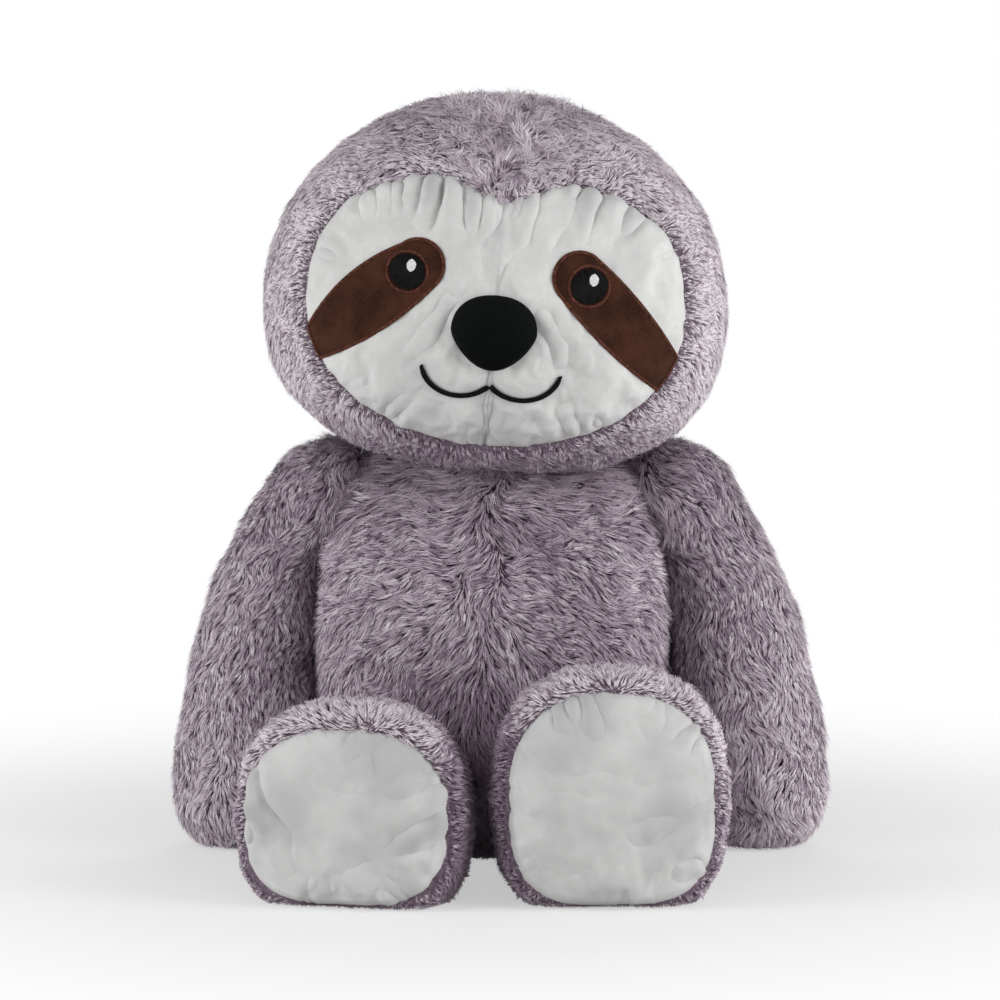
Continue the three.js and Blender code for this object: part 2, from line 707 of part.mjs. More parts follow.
function addLeg(name, sign) {
  const pose = legPose[name];
  const { splay, lean, footHalfHeight } = pose;
  const group = groupAt(toy, hipPivot(sign), new THREE.Euler(0, 0, sign * radians(splay)));
  const shape = legShape(pose);
  const legForm = (detail, inset) => solidOf(loft(shape, detail, inset));
  const centre = new THREE.Vector3();
  const floor = (height) => block({ z: [-farAway, height - hipHeight] });

  const outside = cut(legForm(limbDetail, 0), floor(0)).add(ball(centre, hipRadius));
  const inside = cut(legForm(limbInnerDetail, furThickness), floor(furThickness)).add(
    socket(centre, insideRadius(hipRadius)),
  );
  const sleeveHole = bar(centre, axisY, sleeveHoleRadius, 2 * hipRadius);
  const seam = layerGap / 2;
  const soleBar = (grow) => {
    const geometry = new THREE.CylinderGeometry(1, 1, 2 * soleRound, soleSides);
    const place = geometry.attributes.position;
    for (let i = 0; i < place.count; i++) {
      const [x, z] = [place.getX(i), place.getZ(i)];
      const power = 2 / (z > 0 ? footSquareness.above : footSquareness.below);
      place.setX(i, Math.sign(x) * Math.pow(Math.abs(x), power));
      place.setZ(i, Math.sign(z) * Math.pow(Math.abs(z), power));
    }
    geometry.scale(footHalfWidth - soleRim + grow, 1, footHalfHeight - soleRim + grow);
    geometry.rotateX(-radians(lean));
    geometry.translate(shape.sole.x, shape.sole.y, shape.sole.z);
    return solidOf(geometry);
  };
  const cover = cut(outside, inside, sleeveHole, soleBar(seam));
  const innerHalf = sign > 0 ? { x: [-farAway, -seam] } : { x: [seam, farAway] };
  const outerHalf = sign > 0 ? { x: [seam, farAway] } : { x: [-farAway, -seam] };
  addPiece(group, `leg_inner_${name}`, keep(cover, block(innerHalf)), materials.fur);
  addPiece(group, `leg_outer_${name}`, keep(cover, block(outerHalf)), materials.fur);
  const soleInset = furThickness - smoothThickness;
  const sole = cut(keep(legForm(limbDetail, soleInset), soleBar(-seam)), inside, floor(0));
  addPiece(group, `foot_sole_${name}`, sole, materials.smooth);

  const fillRadius = insideRadius(hipRadius) - layerGap;
  addPiece(group, `hip_stuffing_${name}`, ball(centre, fillRadius), materials.stuffing);
  const bagBack = footBagLength - legLength;
  const fits = (inset) => cut(legForm(limbInnerDetail, furThickness + inset), floor(furThickness + inset));
  const stuffing = cut(
    keep(fits(layerGap), block({ y: [bagBack + layerGap, farAway] })),
    socket(centre, fillRadius + layerGap),
  );
  addPiece(group, `leg_stuffing_${name}`, stuffing, materials.stuffing);

  const bagAt = (inset) => keep(fits(layerGap + inset), block({ y: [-farAway, bagBack - inset] }));
  const fillingHole = fillingHoleAt(new THREE.Vector3(0, bagBack, shape.sole.z), axisY);
  addPiece(group, `foot_bead_bag_${name}`, cut(bagAt(0), bagAt(bagThickness), fillingHole), materials.bag);
  addPiece(group, `foot_beads_${name}`, bagAt(bagThickness + layerGap), materials.beads);
}

addTorso();
addNeck();
addHead();
for (const [name, sign] of Object.entries(signs)) {
  addArm(name, sign);
  addLeg(name, sign);
}

export default toy;
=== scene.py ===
"""Seated plush sloth: fur pile, cotton face and soles, velour eye patches, padded nose and stitching.

Metres, in the frame of the CAD model. The toy faces -Y, and its left side is +X.
"""

import math
from contextlib import contextmanager

import bmesh
import bpy
import numpy as np
from mathutils import Matrix, Vector
from mathutils.bvhtree import BVHTree
from mathutils.geometry import delaunay_2d_cdt


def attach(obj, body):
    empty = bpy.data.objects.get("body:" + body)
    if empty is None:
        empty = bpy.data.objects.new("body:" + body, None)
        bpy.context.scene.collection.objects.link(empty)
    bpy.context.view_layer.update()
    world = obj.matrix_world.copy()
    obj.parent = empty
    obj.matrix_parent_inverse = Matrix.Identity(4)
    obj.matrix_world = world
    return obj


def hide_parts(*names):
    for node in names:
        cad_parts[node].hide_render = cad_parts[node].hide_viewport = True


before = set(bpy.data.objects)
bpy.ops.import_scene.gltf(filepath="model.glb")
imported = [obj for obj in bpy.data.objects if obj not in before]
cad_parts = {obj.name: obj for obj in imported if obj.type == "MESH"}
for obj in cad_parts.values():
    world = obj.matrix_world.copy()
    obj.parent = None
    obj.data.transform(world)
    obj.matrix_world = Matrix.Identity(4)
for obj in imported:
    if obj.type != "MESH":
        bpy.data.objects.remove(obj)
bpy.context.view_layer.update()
MM = 0.001


# Node trees: arithmetic on sockets, and one way to add any other node


class Wire:
    """An output socket, on which arithmetic adds Math nodes."""

    def __init__(self, bench, socket):
        self.bench = bench
        self.socket = socket

    def __add__(self, other):
        return self.bench.maths("ADD", self, other)

    def __radd__(self, other):
        return self.bench.maths("ADD", other, self)

    def __sub__(self, other):
        return self.bench.maths("SUBTRACT", self, other)

    def __rsub__(self, other):
        return self.bench.maths("SUBTRACT", other, self)

    def __mul__(self, other):
        return self.bench.maths("MULTIPLY", self, other)

    def __rmul__(self, other):
        return self.bench.maths("MULTIPLY", other, self)

    def __truediv__(self, other):
        return self.bench.maths("DIVIDE", self, other)

    def __rtruediv__(self, other):
        return self.bench.maths("DIVIDE", other, self)

    def between(self, low, high, start=0.0, end=1.0):
        """A smooth step from start to end as the value goes from low to high."""
        settings = {"interpolation_type": "SMOOTHSTEP"}
        values = {"Value": self, "From Min": low, "From Max": high, "To Min": start, "To Max": end}
        return self.bench.add("ShaderNodeMapRange", settings, values)[0]


class Added:
    """A node that was added. Its outputs are read by name or number."""

    def __init__(self, bench, node):
        self.bench = bench
        self.node = node

    def __getitem__(self, key):
        return Wire(self.bench, self.node.outputs[key])


class Bench:
    """A node tree under construction."""

    def __init__(self, tree):
        self.tree = tree

    def add(self, kind, settings=None, values=None):
        node = self.tree.nodes.new(kind)
        for name, setting in (settings or {}).items():
            if name == "stops":
                self.set_stops(node.color_ramp, setting)
            else:
                setattr(node, name, setting)
        for key, value in (values or {}).items():
            if isinstance(value, Wire):
                self.tree.links.new(value.socket, node.inputs[key])
            else:
                node.inputs[key].default_value = value
        return Added(self, node)

    @staticmethod
    def set_stops(ramp, stops):
        while len(ramp.elements) < len(stops):
            ramp.elements.new(0.5)
        for element, (place, colour) in zip(ramp.elements, stops):
            element.position = place
            element.color = (*colour, 1)

    def maths(self, operation, *values):
        return self.add("ShaderNodeMath", {"operation": operation}, dict(enumerate(values)))[0]

    def vector(self, operation, *values):
        return self.add("ShaderNodeVectorMath", {"operation": operation}, dict(enumerate(values)))[0]

    def scaled(self, vector, factor):
        return self.add("ShaderNodeVectorMath", {"operation": "SCALE"}, {0: vector, "Scale": factor})[0]

    def length(self, vector):
        return self.add("ShaderNodeVectorMath", {"operation": "LENGTH"}, {0: vector})["Value"]

    def dot(self, one, other):
        return self.add("ShaderNodeVectorMath", {"operation": "DOT_PRODUCT"}, {0: one, 1: other})["Value"]

    def stored(self, name, kind):
        """The values of a mesh's attribute."""
        return self.add("GeometryNodeInputNamedAttribute", {"data_type": kind}, {"Name": name})[0]

    def mix(self, factor, one, other):
        """A colour between two colours."""
        values = {0: factor}
        for slot, colour in ((6, one), (7, other)):
            values[slot] = colour if isinstance(colour, Wire) else (*colour, 1)
        return self.add("ShaderNodeMix", {"data_type": "RGBA"}, values)[2]

    def ramp(self, value, stops):
        return self.add("ShaderNodeValToRGB", {"stops": stops}, {0: value})[0]


class Finish(Bench):
    """A new material: its node tree, with a Principled node and its output."""

    def __init__(self, name, roughness=0.9, sheen=0.0, sheen_roughness=0.5, specular=0.3):
        self.material = bpy.data.materials.new(name)
        self.material.use_nodes = True
        self.material.node_tree.nodes.clear()
        super().__init__(self.material.node_tree)
        values = {
            "Roughness": roughness,
            "Sheen Weight": sheen,
            "Sheen Roughness": sheen_roughness,
            "Specular IOR Level": specular,
        }
        self.shader = self.add("ShaderNodeBsdfPrincipled", {}, values)
        self.output = self.add("ShaderNodeOutputMaterial", {}, {"Surface": self.shader[0]})

    def feed(self, name, source):
        """Links a value or a colour to the Principled node."""
        self.tree.links.new(source.socket, self.shader.node.inputs[name])

    def place(self):
        return self.add("ShaderNodeTexCoord")["Object"]

    def noise(self, scale, detail, roughness=0.5):
        """Soft uneven numbers of about 0 to 1 over the object."""
        values = {"Vector": self.place(), "Scale": scale, "Detail": detail, "Roughness": roughness}
        return self.add("ShaderNodeTexNoise", {}, values)[0]

    def weave(self, turns):
        """The height of a plain weave, from waves across the cloth and up it."""
        parts = self.add("ShaderNodeSeparateXYZ", {}, {0: self.place()})
        warp = self.maths("SINE", parts[0] * turns)
        weft = self.maths("SINE", parts[2] * turns)
        return warp * weft

    def bump(self, height, strength, depth):
        values = {"Strength": strength, "Distance": depth, "Height": height}
        self.feed("Normal", self.add("ShaderNodeBump", {}, values)[0])


# Places of the main forms, as in the CAD model

NECK_PIVOT = Vector((-7, 5, 230)) * MM
HEAD_TILT = math.radians(4.7)
HEAD = Matrix.Translation(NECK_PIVOT) @ Matrix.Rotation(HEAD_TILT, 4, "Y")
HEAD_CENTRE = Vector((0, -23, 58)) * MM
NOSE_BELOW = 10.5 * MM
FACE_HALF = (98 * MM, 70 * MM)
FACE_UP = 8.7 * MM
FACE_FULLNESS_ABOVE = 2.7
FACE_FULLNESS_BELOW = 2.0
PEAK_DROP = 13 * MM
PEAK_HALF = 34 * MM
PEAK_SHARPNESS = 1.2
FACE_INSET = 2.6 * MM
HEAD_UP = 106 * MM
HEAD_DOWN = 85 * MM
HEAD_HALF_WIDTH = 119 * MM
HEAD_FRONT = 92 * MM
HEAD_ROUNDNESS = 2.3
JOWL_ROUNDNESS = 2.5
SOLE_ROUND = 20 * MM
SOLE_FULLNESS = 2.6
SOLE_SQUARE_ABOVE = 2.5
SOLE_SQUARE_BELOW = 3.2
FOOT_HALF_WIDTH = 55.5 * MM
SOLE_RIM = 4 * MM
SOLE_ABOVE_FLOOR = 3 * MM
LEG_LENGTH = 135 * MM
# Where each leg meets the torso is in millimetres, and its turns are in degrees
LEGS = {
    "left": {"hip": (50, -78), "splay": 2.5, "lean": 6, "half_height": 57.5 * MM},
    "right": {"hip": (-50, -78), "splay": -12.5, "lean": 8, "half_height": 48.5 * MM},
}
TORSO_ASIDE = -5 * MM
SIGNS = {"left": 1, "right": -1}
DOWN = np.array([0.0, 0.0, -1.0])
BACK = np.array([0.0, 1.0, 0.0])
FORWARD = np.array([0.0, -1.0, 0.0])


def smooth(value, low, high):
    share = np.clip((value - low) / (high - low), 0, 1)
    return share * share * (3 - 2 * share)


def drift(points, size, seed):
    """Smooth uneven numbers of about -1 to 1 over space, with humps of a given size."""
    dice = np.random.default_rng(seed)
    waves = dice.normal(size=(7, 3))
    waves *= dice.uniform(0.7, 1.5, (7, 1)) * math.pi / (size * np.linalg.norm(waves, axis=1)[:, None])
    return np.sin(points @ waves.T + dice.uniform(0, 2 * np.pi, 7)).sum(axis=1) / 2.6


def in_head(points):
    """Points of the toy's frame in the head's own frame, with the head's centre as the origin."""
    turn = np.array(HEAD.inverted())
    return points @ turn[:3, :3].T + turn[:3, 3] - np.array(HEAD_CENTRE)


def edge_share(x, up, half_width, half_height, fullness):
    """How far out a point of a rounded outline is: 1 on the outline, less inside it."""
    return ((np.abs(x) / half_width) ** fullness + (np.abs(up) / half_height) ** fullness) ** (1 / fullness)


def face_edge_share(x, z):
    """How far out a point of the head's front view is, with the peak above the nose."""
    up = z + NOSE_BELOW - FACE_UP
    peak = PEAK_DROP * np.maximum(0, 1 - np.abs(x) / PEAK_HALF) ** PEAK_SHARPNESS
    height = np.where(up > 0, FACE_HALF[1] - peak, FACE_HALF[1])
    fullness = np.where(up > 0, FACE_FULLNESS_ABOVE, FACE_FULLNESS_BELOW)
    return edge_share(x, up, FACE_HALF[0], height, fullness)


def sole_edge_share(x, z, half_width, half_height):
    """How far out a point of the sole's plane is: 1 on the edge of a foot of these half sizes."""
    return edge_share(x, z, half_width, half_height, np.where(z > 0, SOLE_SQUARE_ABOVE, SOLE_SQUARE_BELOW))


def head_depth(x, z, inset):
    """How far in front of the head's centre its surface lies, as a negative y."""
    up = np.clip(z, 0, None) / (HEAD_UP - inset)
    down = np.clip(-z, 0, None) / (HEAD_DOWN - inset)
    wide_above = (1 - np.clip(up, 0, 1) ** 2) ** 0.5
    wide_below = (1 - np.clip(down, 0, 1) ** JOWL_ROUNDNESS) ** (1 / JOWL_ROUNDNESS)
    wide = np.where(z > 0, wide_above, wide_below)
    share = np.clip(np.abs(x) / ((HEAD_HALF_WIDTH - inset) * np.maximum(wide, 1e-6)), 0, 1)
    return -(HEAD_FRONT - inset) * wide * (1 - share**HEAD_ROUNDNESS) ** (1 / HEAD_ROUNDNESS)


def on_face(x, z, lift=0.0):
    """Points over the face and the directions out of it, from places measured from the nose."""
    x = np.atleast_1d(np.asarray(x, float))
    z = np.atleast_1d(np.asarray(z, float)) - NOSE_BELOW
    step = 1 * MM
    y = head_depth(x, z, FACE_INSET)
    slope_x = (head_depth(x + step, z, FACE_INSET) - head_depth(x - step, z, FACE_INSET)) / (2 * step)
    slope_z = (head_depth(x, z + step, FACE_INSET) - head_depth(x, z - step, FACE_INSET)) / (2 * step)
    out = unit(np.stack([slope_x, -np.ones_like(x), slope_z], axis=1))
    points = np.stack([x, y, z], axis=1) + out * np.reshape(lift, (-1, 1)) + np.array(HEAD_CENTRE)
    turn = np.array(HEAD)
    return points @ turn[:3, :3].T + turn[:3, 3], out @ turn[:3, :3].T


# Meshes


def unit(vectors):
    return vectors / np.maximum(np.linalg.norm(vectors, axis=1), 1e-9)[:, None]


def vertex_vectors(mesh, name):
    flat = np.empty(len(mesh.vertices) * 3, np.float32)
    mesh.vertices.foreach_get(name, flat)
    return flat.reshape(-1, 3).astype(float)


def points_of(mesh):
    return vertex_vectors(mesh, "co")


def normals_of(mesh):
    return vertex_vectors(mesh, "normal")


def set_points(mesh, points):
    mesh.vertices.foreach_set("co", np.asarray(points, np.float32).ravel())
    mesh.update()


def new_object(name, mesh):
    made = bpy.data.objects.new(name, mesh)
    bpy.context.scene.collection.objects.link(made)
    return made


def evaluated_copy(source, name):
    """A plain mesh object with the source's modifiers applied."""
    bpy.context.view_layer.update()
    graph = bpy.context.evaluated_depsgraph_get()
    mesh = bpy.data.meshes.new_from_object(source.evaluated_get(graph), depsgraph=graph)
    mesh.name = name
    return new_object(name, mesh)


def discard(*objects):
    for made in objects:
        mesh = made.data
        bpy.data.objects.remove(made)
        bpy.data.meshes.remove(mesh)


@contextmanager
def reshaped(mesh):
    """The mesh as a form whose points and faces can be edited, and which is written back at the end."""
    form = bmesh.new()
    form.from_mesh(mesh)
    form.verts.ensure_lookup_table()
    yield form
    form.to_mesh(mesh)
    form.free()


def joined_copy(name, nodes):
    """One mesh with copies of the CAD nodes' surfaces."""
    form = bmesh.new()
    for node in nodes:
        form.from_mesh(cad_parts[node].data)
    bmesh.ops.remove_doubles(form, verts=form.verts, dist=1e-5)
    mesh = bpy.data.meshes.new(name)
    form.to_mesh(mesh)
    form.free()
    return new_object(name, mesh)


def keep_outer_shell(mesh):
    """Deletes the closed shells that lie inside the largest one."""
    with reshaped(mesh) as form:
        seen = set()
        shells = []
        for start in form.verts:
            if start.index in seen:
                continue
            shell = [start]
            seen.add(start.index)
            for vertex in shell:
                for edge in vertex.link_edges:
                    other = edge.other_vert(vertex)
                    if other.index not in seen:
                        seen.add(other.index)
                        shell.append(other)
            shells.append(shell)
        shells.sort(key=len)
        for shell in shells[:-1]:
            bmesh.ops.delete(form, geom=shell, context="VERTS")


def cloth_skin(name, nodes, voxel, rounds, swell):
    """The smooth outer surface of some CAD nodes, as one closed mesh."""
    rough = joined_copy(name + "_rough", nodes)
    remesh = rough.modifiers.new("remesh", "REMESH")
    remesh.mode = "VOXEL"
    remesh.voxel_size = voxel
    relax = rough.modifiers.new("relax", "SMOOTH")
    relax.factor = 0.5
    relax.iterations = rounds
    skin = evaluated_copy(rough, name)
    discard(rough)
    keep_outer_shell(skin.data)
    set_points(skin.data, points_of(skin.data) + normals_of(skin.data) * swell)
    return skin


def tree_of(made):
    return BVHTree.FromObject(made, bpy.context.evaluated_depsgraph_get())


def clearance(points, trees):
    """Distance from each point to the nearest of some closed surfaces, below zero inside one."""
    found = np.full(len(points), 1.0)
    for tree in trees:
        for i, point in enumerate(points):
            place, normal, _, distance = tree.find_nearest(Vector(point), 50 * MM)
            if place is None:
                continue
            inside = (Vector(point) - place).dot(normal) < 0
            found[i] = min(found[i], -distance if inside else distance)
    return found


def add_numbers(mesh, name, values):
    attribute = mesh.attributes.new(name, "FLOAT", "POINT")
    attribute.data.foreach_set("value", np.asarray(values, np.float32))


def add_vectors(mesh, name, values):
    attribute = mesh.attributes.new(name, "FLOAT_VECTOR", "POINT")
    attribute.data.foreach_set("vector", np.asarray(values, np.float32).ravel())


def along_surface(vectors, normals):
    """The part of each vector that lies in the surface, at length 1."""
    flat = vectors - normals * np.sum(vectors * normals, axis=1)[:, None]
    return unit(flat)


# Smooth cloth panels: an even mesh inside an outline, puffed out by a cloth simulation


def resampled(outline, spacing, start=0.0):
    """Points at an even spacing along a closed outline."""
    closed = np.vstack([outline, outline[:1]])
    steps = np.hypot(*np.diff(closed, axis=0).T)
    travelled = np.append(0, np.cumsum(steps))
    count = max(6, int(round(travelled[-1] / spacing)))
    places = ((np.arange(count) + start) / count * travelled[-1]) % travelled[-1]
    return np.stack([np.interp(places, travelled, closed[:, k]) for k in (0, 1)], axis=1)


def filled_outline(outline, spacing, seam=False):
    """Even points and triangles inside a closed outline, and which points lie on it."""
    outline = np.asarray(outline, float)
    middle = outline.mean(axis=0)
    rings = int(round(np.hypot(*(outline - middle).T).mean() / spacing))
    dice = np.random.default_rng(7)
    rim = resampled(outline, spacing)
    inner = [middle[None, :]]
    for k in range(1, rings):
        inner.append(resampled(middle + (outline - middle) * k / rings, spacing, dice.uniform()))
    inner = np.vstack(inner)
    if seam:
        inner = inner[np.abs(inner[:, 0]) > 0.6 * spacing]
        ends = [half[np.argmin(np.abs(half[:, 0])), 1] for half in (rim[rim[:, 1] < 0], rim[rim[:, 1] > 0])]
        line = np.arange(ends[0] + spacing, ends[1] - 0.7 * spacing, spacing)
        inner = np.vstack([inner, np.stack([np.zeros_like(line), line], axis=1)])
    count = len(rim)
    edges = [(i, (i + 1) % count) for i in range(count)]
    given = [Vector(point) for point in np.vstack([rim, inner])]
    found = delaunay_2d_cdt(given, edges, [], 1, 1e-9)
    points = np.array([tuple(point) for point in found[0]])
    gaps = np.hypot(points[:, None, 0] - rim[None, :, 0], points[:, None, 1] - rim[None, :, 1]).min(axis=1)
    return points, [tuple(face) for face in found[2]], gaps < 1e-6


def panel_mesh(name, points, faces, outward):
    """A mesh of triangles that all face a direction."""
    turned = []
    for face in faces:
        a, b, c = (points[i] for i in face)
        turned.append(face if np.cross(b - a, c - a) @ outward > 0 else face[::-1])
    mesh = bpy.data.meshes.new(name)
    mesh.from_pydata(points.tolist(), [], turned)
    return mesh


CLOTH_FRAMES = 24
CLOTH_SETTINGS = {
    "vertex_group_mass": "sewn",
    "quality": 6,
    "mass": 0.05,
    "tension_stiffness": 15,
    "compression_stiffness": 15,
    "shear_stiffness": 5,
    "bending_stiffness": 0.3,
    "air_damping": 2,
    "use_pressure": True,
    "uniform_pressure_force": 5.0,
}
CONE_DEPTH = 30 * MM


def loose_cloth(name, points, faces, rim, held, outward, growth):
    """A panel with a Cloth modifier. A cone closes it behind, to give the pressure a volume."""
    behind = points[rim].mean(axis=0) - outward * CONE_DEPTH
    mesh = panel_mesh(name, points, faces, outward)
    with reshaped(mesh) as form:
        tip = form.verts.new(behind)
        for edge in [edge for edge in form.edges if len(edge.link_faces) == 1]:
            loop = edge.link_loops[0]
            form.faces.new((loop.link_loop_next.vert, loop.vert, tip))
    made = new_object(name, mesh)
    pins = made.vertex_groups.new(name="sewn")
    pins.add([int(i) for i in np.nonzero(held)[0]] + [len(points)], 1.0, "REPLACE")
    cloth = made.modifiers.new("cloth", "CLOTH")
    settings = cloth.settings
    for setting, value in CLOTH_SETTINGS.items():
        setattr(settings, setting, value)
    settings.shrink_min = settings.shrink_max = -growth
    settings.effector_weights.gravity = 0
    cloth.collision_settings.use_self_collision = False
    cloth.point_cache.frame_start = 1
    cloth.point_cache.frame_end = CLOTH_FRAMES
    return made


CLOTH_CAP = 5 * MM


def settle(panels):
    """Runs the simulation and puts its result, no further than the cap, into each mesh."""
    scene = bpy.context.scene
    for number in range(1, CLOTH_FRAMES + 1):
        scene.frame_set(number)
    for made in panels:
        rest = points_of(made.data)
        settled = evaluated_copy(made, made.name + "_settled")
        moves = points_of(settled.data) - rest
        discard(settled)
        made.modifiers.clear()
        made.vertex_groups.clear()
        far = np.linalg.norm(moves, axis=1)
        moves *= (np.minimum(far, CLOTH_CAP) / np.maximum(far, 1e-9))[:, None]
        set_points(made.data, rest + moves)
        with reshaped(made.data) as form:
            bmesh.ops.delete(form, geom=[form.verts[-1]], context="VERTS")
    scene.frame_set(1)


def thickened(made, name, thickness, relax=1):
    """The panel with rounded facets and a wall behind it."""
    if relax:
        ease = made.modifiers.new("ease", "SMOOTH")
        ease.factor = 0.5
        ease.iterations = relax
    fine = made.modifiers.new("fine", "SUBSURF")
    fine.levels = fine.render_levels = 1
    wall = made.modifiers.new("wall", "SOLIDIFY")
    wall.thickness = thickness
    wall.offset = -1
    solid = evaluated_copy(made, name)
    discard(made)
    return solid


# Fur pile, made by one Geometry Nodes tree that plants curved tufts on a skin


def tuft_blade():
    """A tuft of length 1 along +Z, bowed towards +Y and pointed at both ends."""
    points = [(0, 0, 0), (-0.5, 0.24, 0.45), (0.5, 0.24, 0.45), (0, 0, 1)]
    mesh = bpy.data.meshes.new("tuft_blade")
    mesh.from_pydata(points, [], [(2, 0, 1), (2, 1, 3)])
    add_numbers(mesh, "along", [point[2] for point in points])
    add_numbers(mesh, "side", [0, -1, 1, 0])
    return new_object("tuft_blade", mesh)


FUR_SIZES = {
    "Tufts per square metre": 1.6e6,
    "Rise": 4.4 * MM,
    "Lay": 7.2 * MM,
    "Tuft width": 0.55 * MM,
    "Swirl": 0.65,
    "Swirl size": 14 * MM,
    "Lock size": 2.4 * MM,
    "Lock pull": 0.9,
    "Looseness": 0.9 * MM,
}


def geometry_tree(name, inputs):
    """A Geometry Nodes tree under construction, with inputs of given names and kinds."""
    tree = bpy.data.node_groups.new(name, "GeometryNodeTree")
    tree.interface.new_socket("Geometry", in_out="OUTPUT", socket_type="NodeSocketGeometry")
    for socket, kind in inputs.items():
        tree.interface.new_socket(socket, in_out="INPUT", socket_type="NodeSocket" + kind)
    bench = Bench(tree)
    return bench, bench.add("NodeGroupInput")


def end_tree(bench, instances, finish):
    """Ends a tree in real geometry with its finish."""
    real = bench.add("GeometryNodeRealizeInstances", {}, {"Geometry": instances})
    dressed = bench.add("GeometryNodeSetMaterial", {}, {"Geometry": real[0], "Material": finish})
    bench.add("NodeGroupOutput", {}, {"Geometry": dressed[0]})
    return bench.tree


def fur_tree():
    inputs = {"Skin": "Geometry", **dict.fromkeys(FUR_SIZES, "Float")}
    inputs.update({"Panel": "String", "Seed": "Int", "Tuft": "Object", "Finish": "Material"})
    bench, given = geometry_tree("fur pile", inputs)

    def any_vector(size, seed):
        values = {0: (-1, -1, -1), 1: (1, 1, 1), "Seed": given["Seed"] + seed}
        drawn = bench.add("FunctionNodeRandomValue", {"data_type": "FLOAT_VECTOR"}, values)
        return bench.scaled(drawn[0], size)

    def any_number(low, high, seed):
        values = {2: low, 3: high, "Seed": given["Seed"] + seed}
        return bench.add("FunctionNodeRandomValue", {"data_type": "FLOAT"}, values)[1]

    density = given["Tufts per square metre"] * bench.stored(given["Panel"], "FLOAT")
    planted = bench.add(
        "GeometryNodeDistributePointsOnFaces",
        {"distribute_method": "RANDOM"},
        {"Mesh": given["Skin"], "Density": density, "Seed": given["Seed"]},
    )
    place = bench.add("GeometryNodeInputPosition")[0]
    upright = planted["Normal"]
    pile = bench.stored("pile", "FLOAT")

    def field(scale):
        return bench.add("ShaderNodeTexNoise", {}, {"Vector": place, "Scale": scale, "Detail": 1.0})

    angle = (field(1 / given["Swirl size"])[0] - 0.5) * given["Swirl"] * 6
    comb = bench.add(
        "ShaderNodeVectorRotate",
        {"rotation_type": "AXIS_ANGLE"},
        {"Vector": bench.stored("comb", "FLOAT_VECTOR"), "Axis": upright, "Angle": angle},
    )[0]

    shift = bench.vector("SUBTRACT", field(1.3 / given["Lock size"])[1], (0.5, 0.5, 0.5))
    wobbled = bench.vector("ADD", place, bench.scaled(shift, given["Lock size"]))
    lock = bench.add("ShaderNodeTexVoronoi", {}, {"Vector": wobbled, "Scale": 1 / given["Lock size"]})
    to_lock = bench.vector("SUBTRACT", lock["Position"], wobbled)
    inward = bench.vector("SUBTRACT", to_lock, bench.scaled(upright, bench.dot(to_lock, upright)))
    lock_tone = bench.add("FunctionNodeSeparateColor", {}, {0: lock["Color"]})

    length = pile * any_number(0.75, 1.2, 11) * (0.85 + 0.3 * lock_tone["Green"])
    reach = bench.scaled(upright, given["Rise"] * length * (0.8 + 0.4 * lock_tone["Blue"]))
    reach = bench.vector("ADD", reach, bench.scaled(comb, given["Lay"] * length))
    reach = bench.vector("ADD", reach, bench.scaled(inward, given["Lock pull"] * pile))
    reach = bench.vector("ADD", reach, bench.scaled(any_vector(given["Looseness"], 12), pile))

    tone = bench.stored("tone", "FLOAT") + (lock_tone["Red"] - 0.5) * 0.4 + any_number(-0.07, 0.07, 13)
    # Tufts at a lock's middle are paler and those at its edge darker: painted light on the locks and painted
    # shade between them.
    tone = tone + (0.4 - lock["Distance"]) * 1.25
    points = planted["Points"]
    for name, kind, value in (("strand_tone", "FLOAT", tone), ("skin_normal", "FLOAT_VECTOR", upright)):
        points = bench.add(
            "GeometryNodeStoreNamedAttribute",
            {"data_type": kind, "domain": "POINT"},
            {"Geometry": points, "Name": name, "Value": value},
        )[0]
    size = bench.length(reach)
    width = given["Tuft width"] * any_number(0.75, 1.25, 14)
    scale = bench.add("ShaderNodeCombineXYZ", {}, {0: width, 1: size, 2: size})[0]
    turn = bench.add(
        "FunctionNodeAxesToRotation",
        {"primary_axis": "Z", "secondary_axis": "X"},
        {0: reach, 1: bench.vector("CROSS_PRODUCT", upright, reach)},
    )
    blade = bench.add("GeometryNodeObjectInfo", {}, {"Object": given["Tuft"]})
    tufts = bench.add(
        "GeometryNodeInstanceOnPoints",
        {},
        {"Points": points, "Instance": blade["Geometry"], "Rotation": turn[0], "Scale": scale},
    )
    return end_tree(bench, tufts[0], given["Finish"])


def set_inputs(modifier, values):
    """Sets a modifier's inputs by the names of its tree's sockets."""
    for item in modifier.node_group.interface.items_tree:
        if item.in_out == "INPUT" and item.name in values:
            modifier[item.identifier] = values[item.name]


# What a skin tells the fur at each point: which way it lies, how long it is and how pale, where the paleness
# holds painted light and painted shade as well as the fur's own tone
SKIN_FIELDS = ("comb", "pile", "tone")

# The toy's weight lays the pile under it flat: the tips stay at least this far above the floor, and
# the roots this much further
PILE_BOTTOM = 0.3 * MM
CRUSHED_PILE = 1.1 * MM

FUR_TREE = fur_tree()
TUFT = tuft_blade()
TUFT.hide_render = True


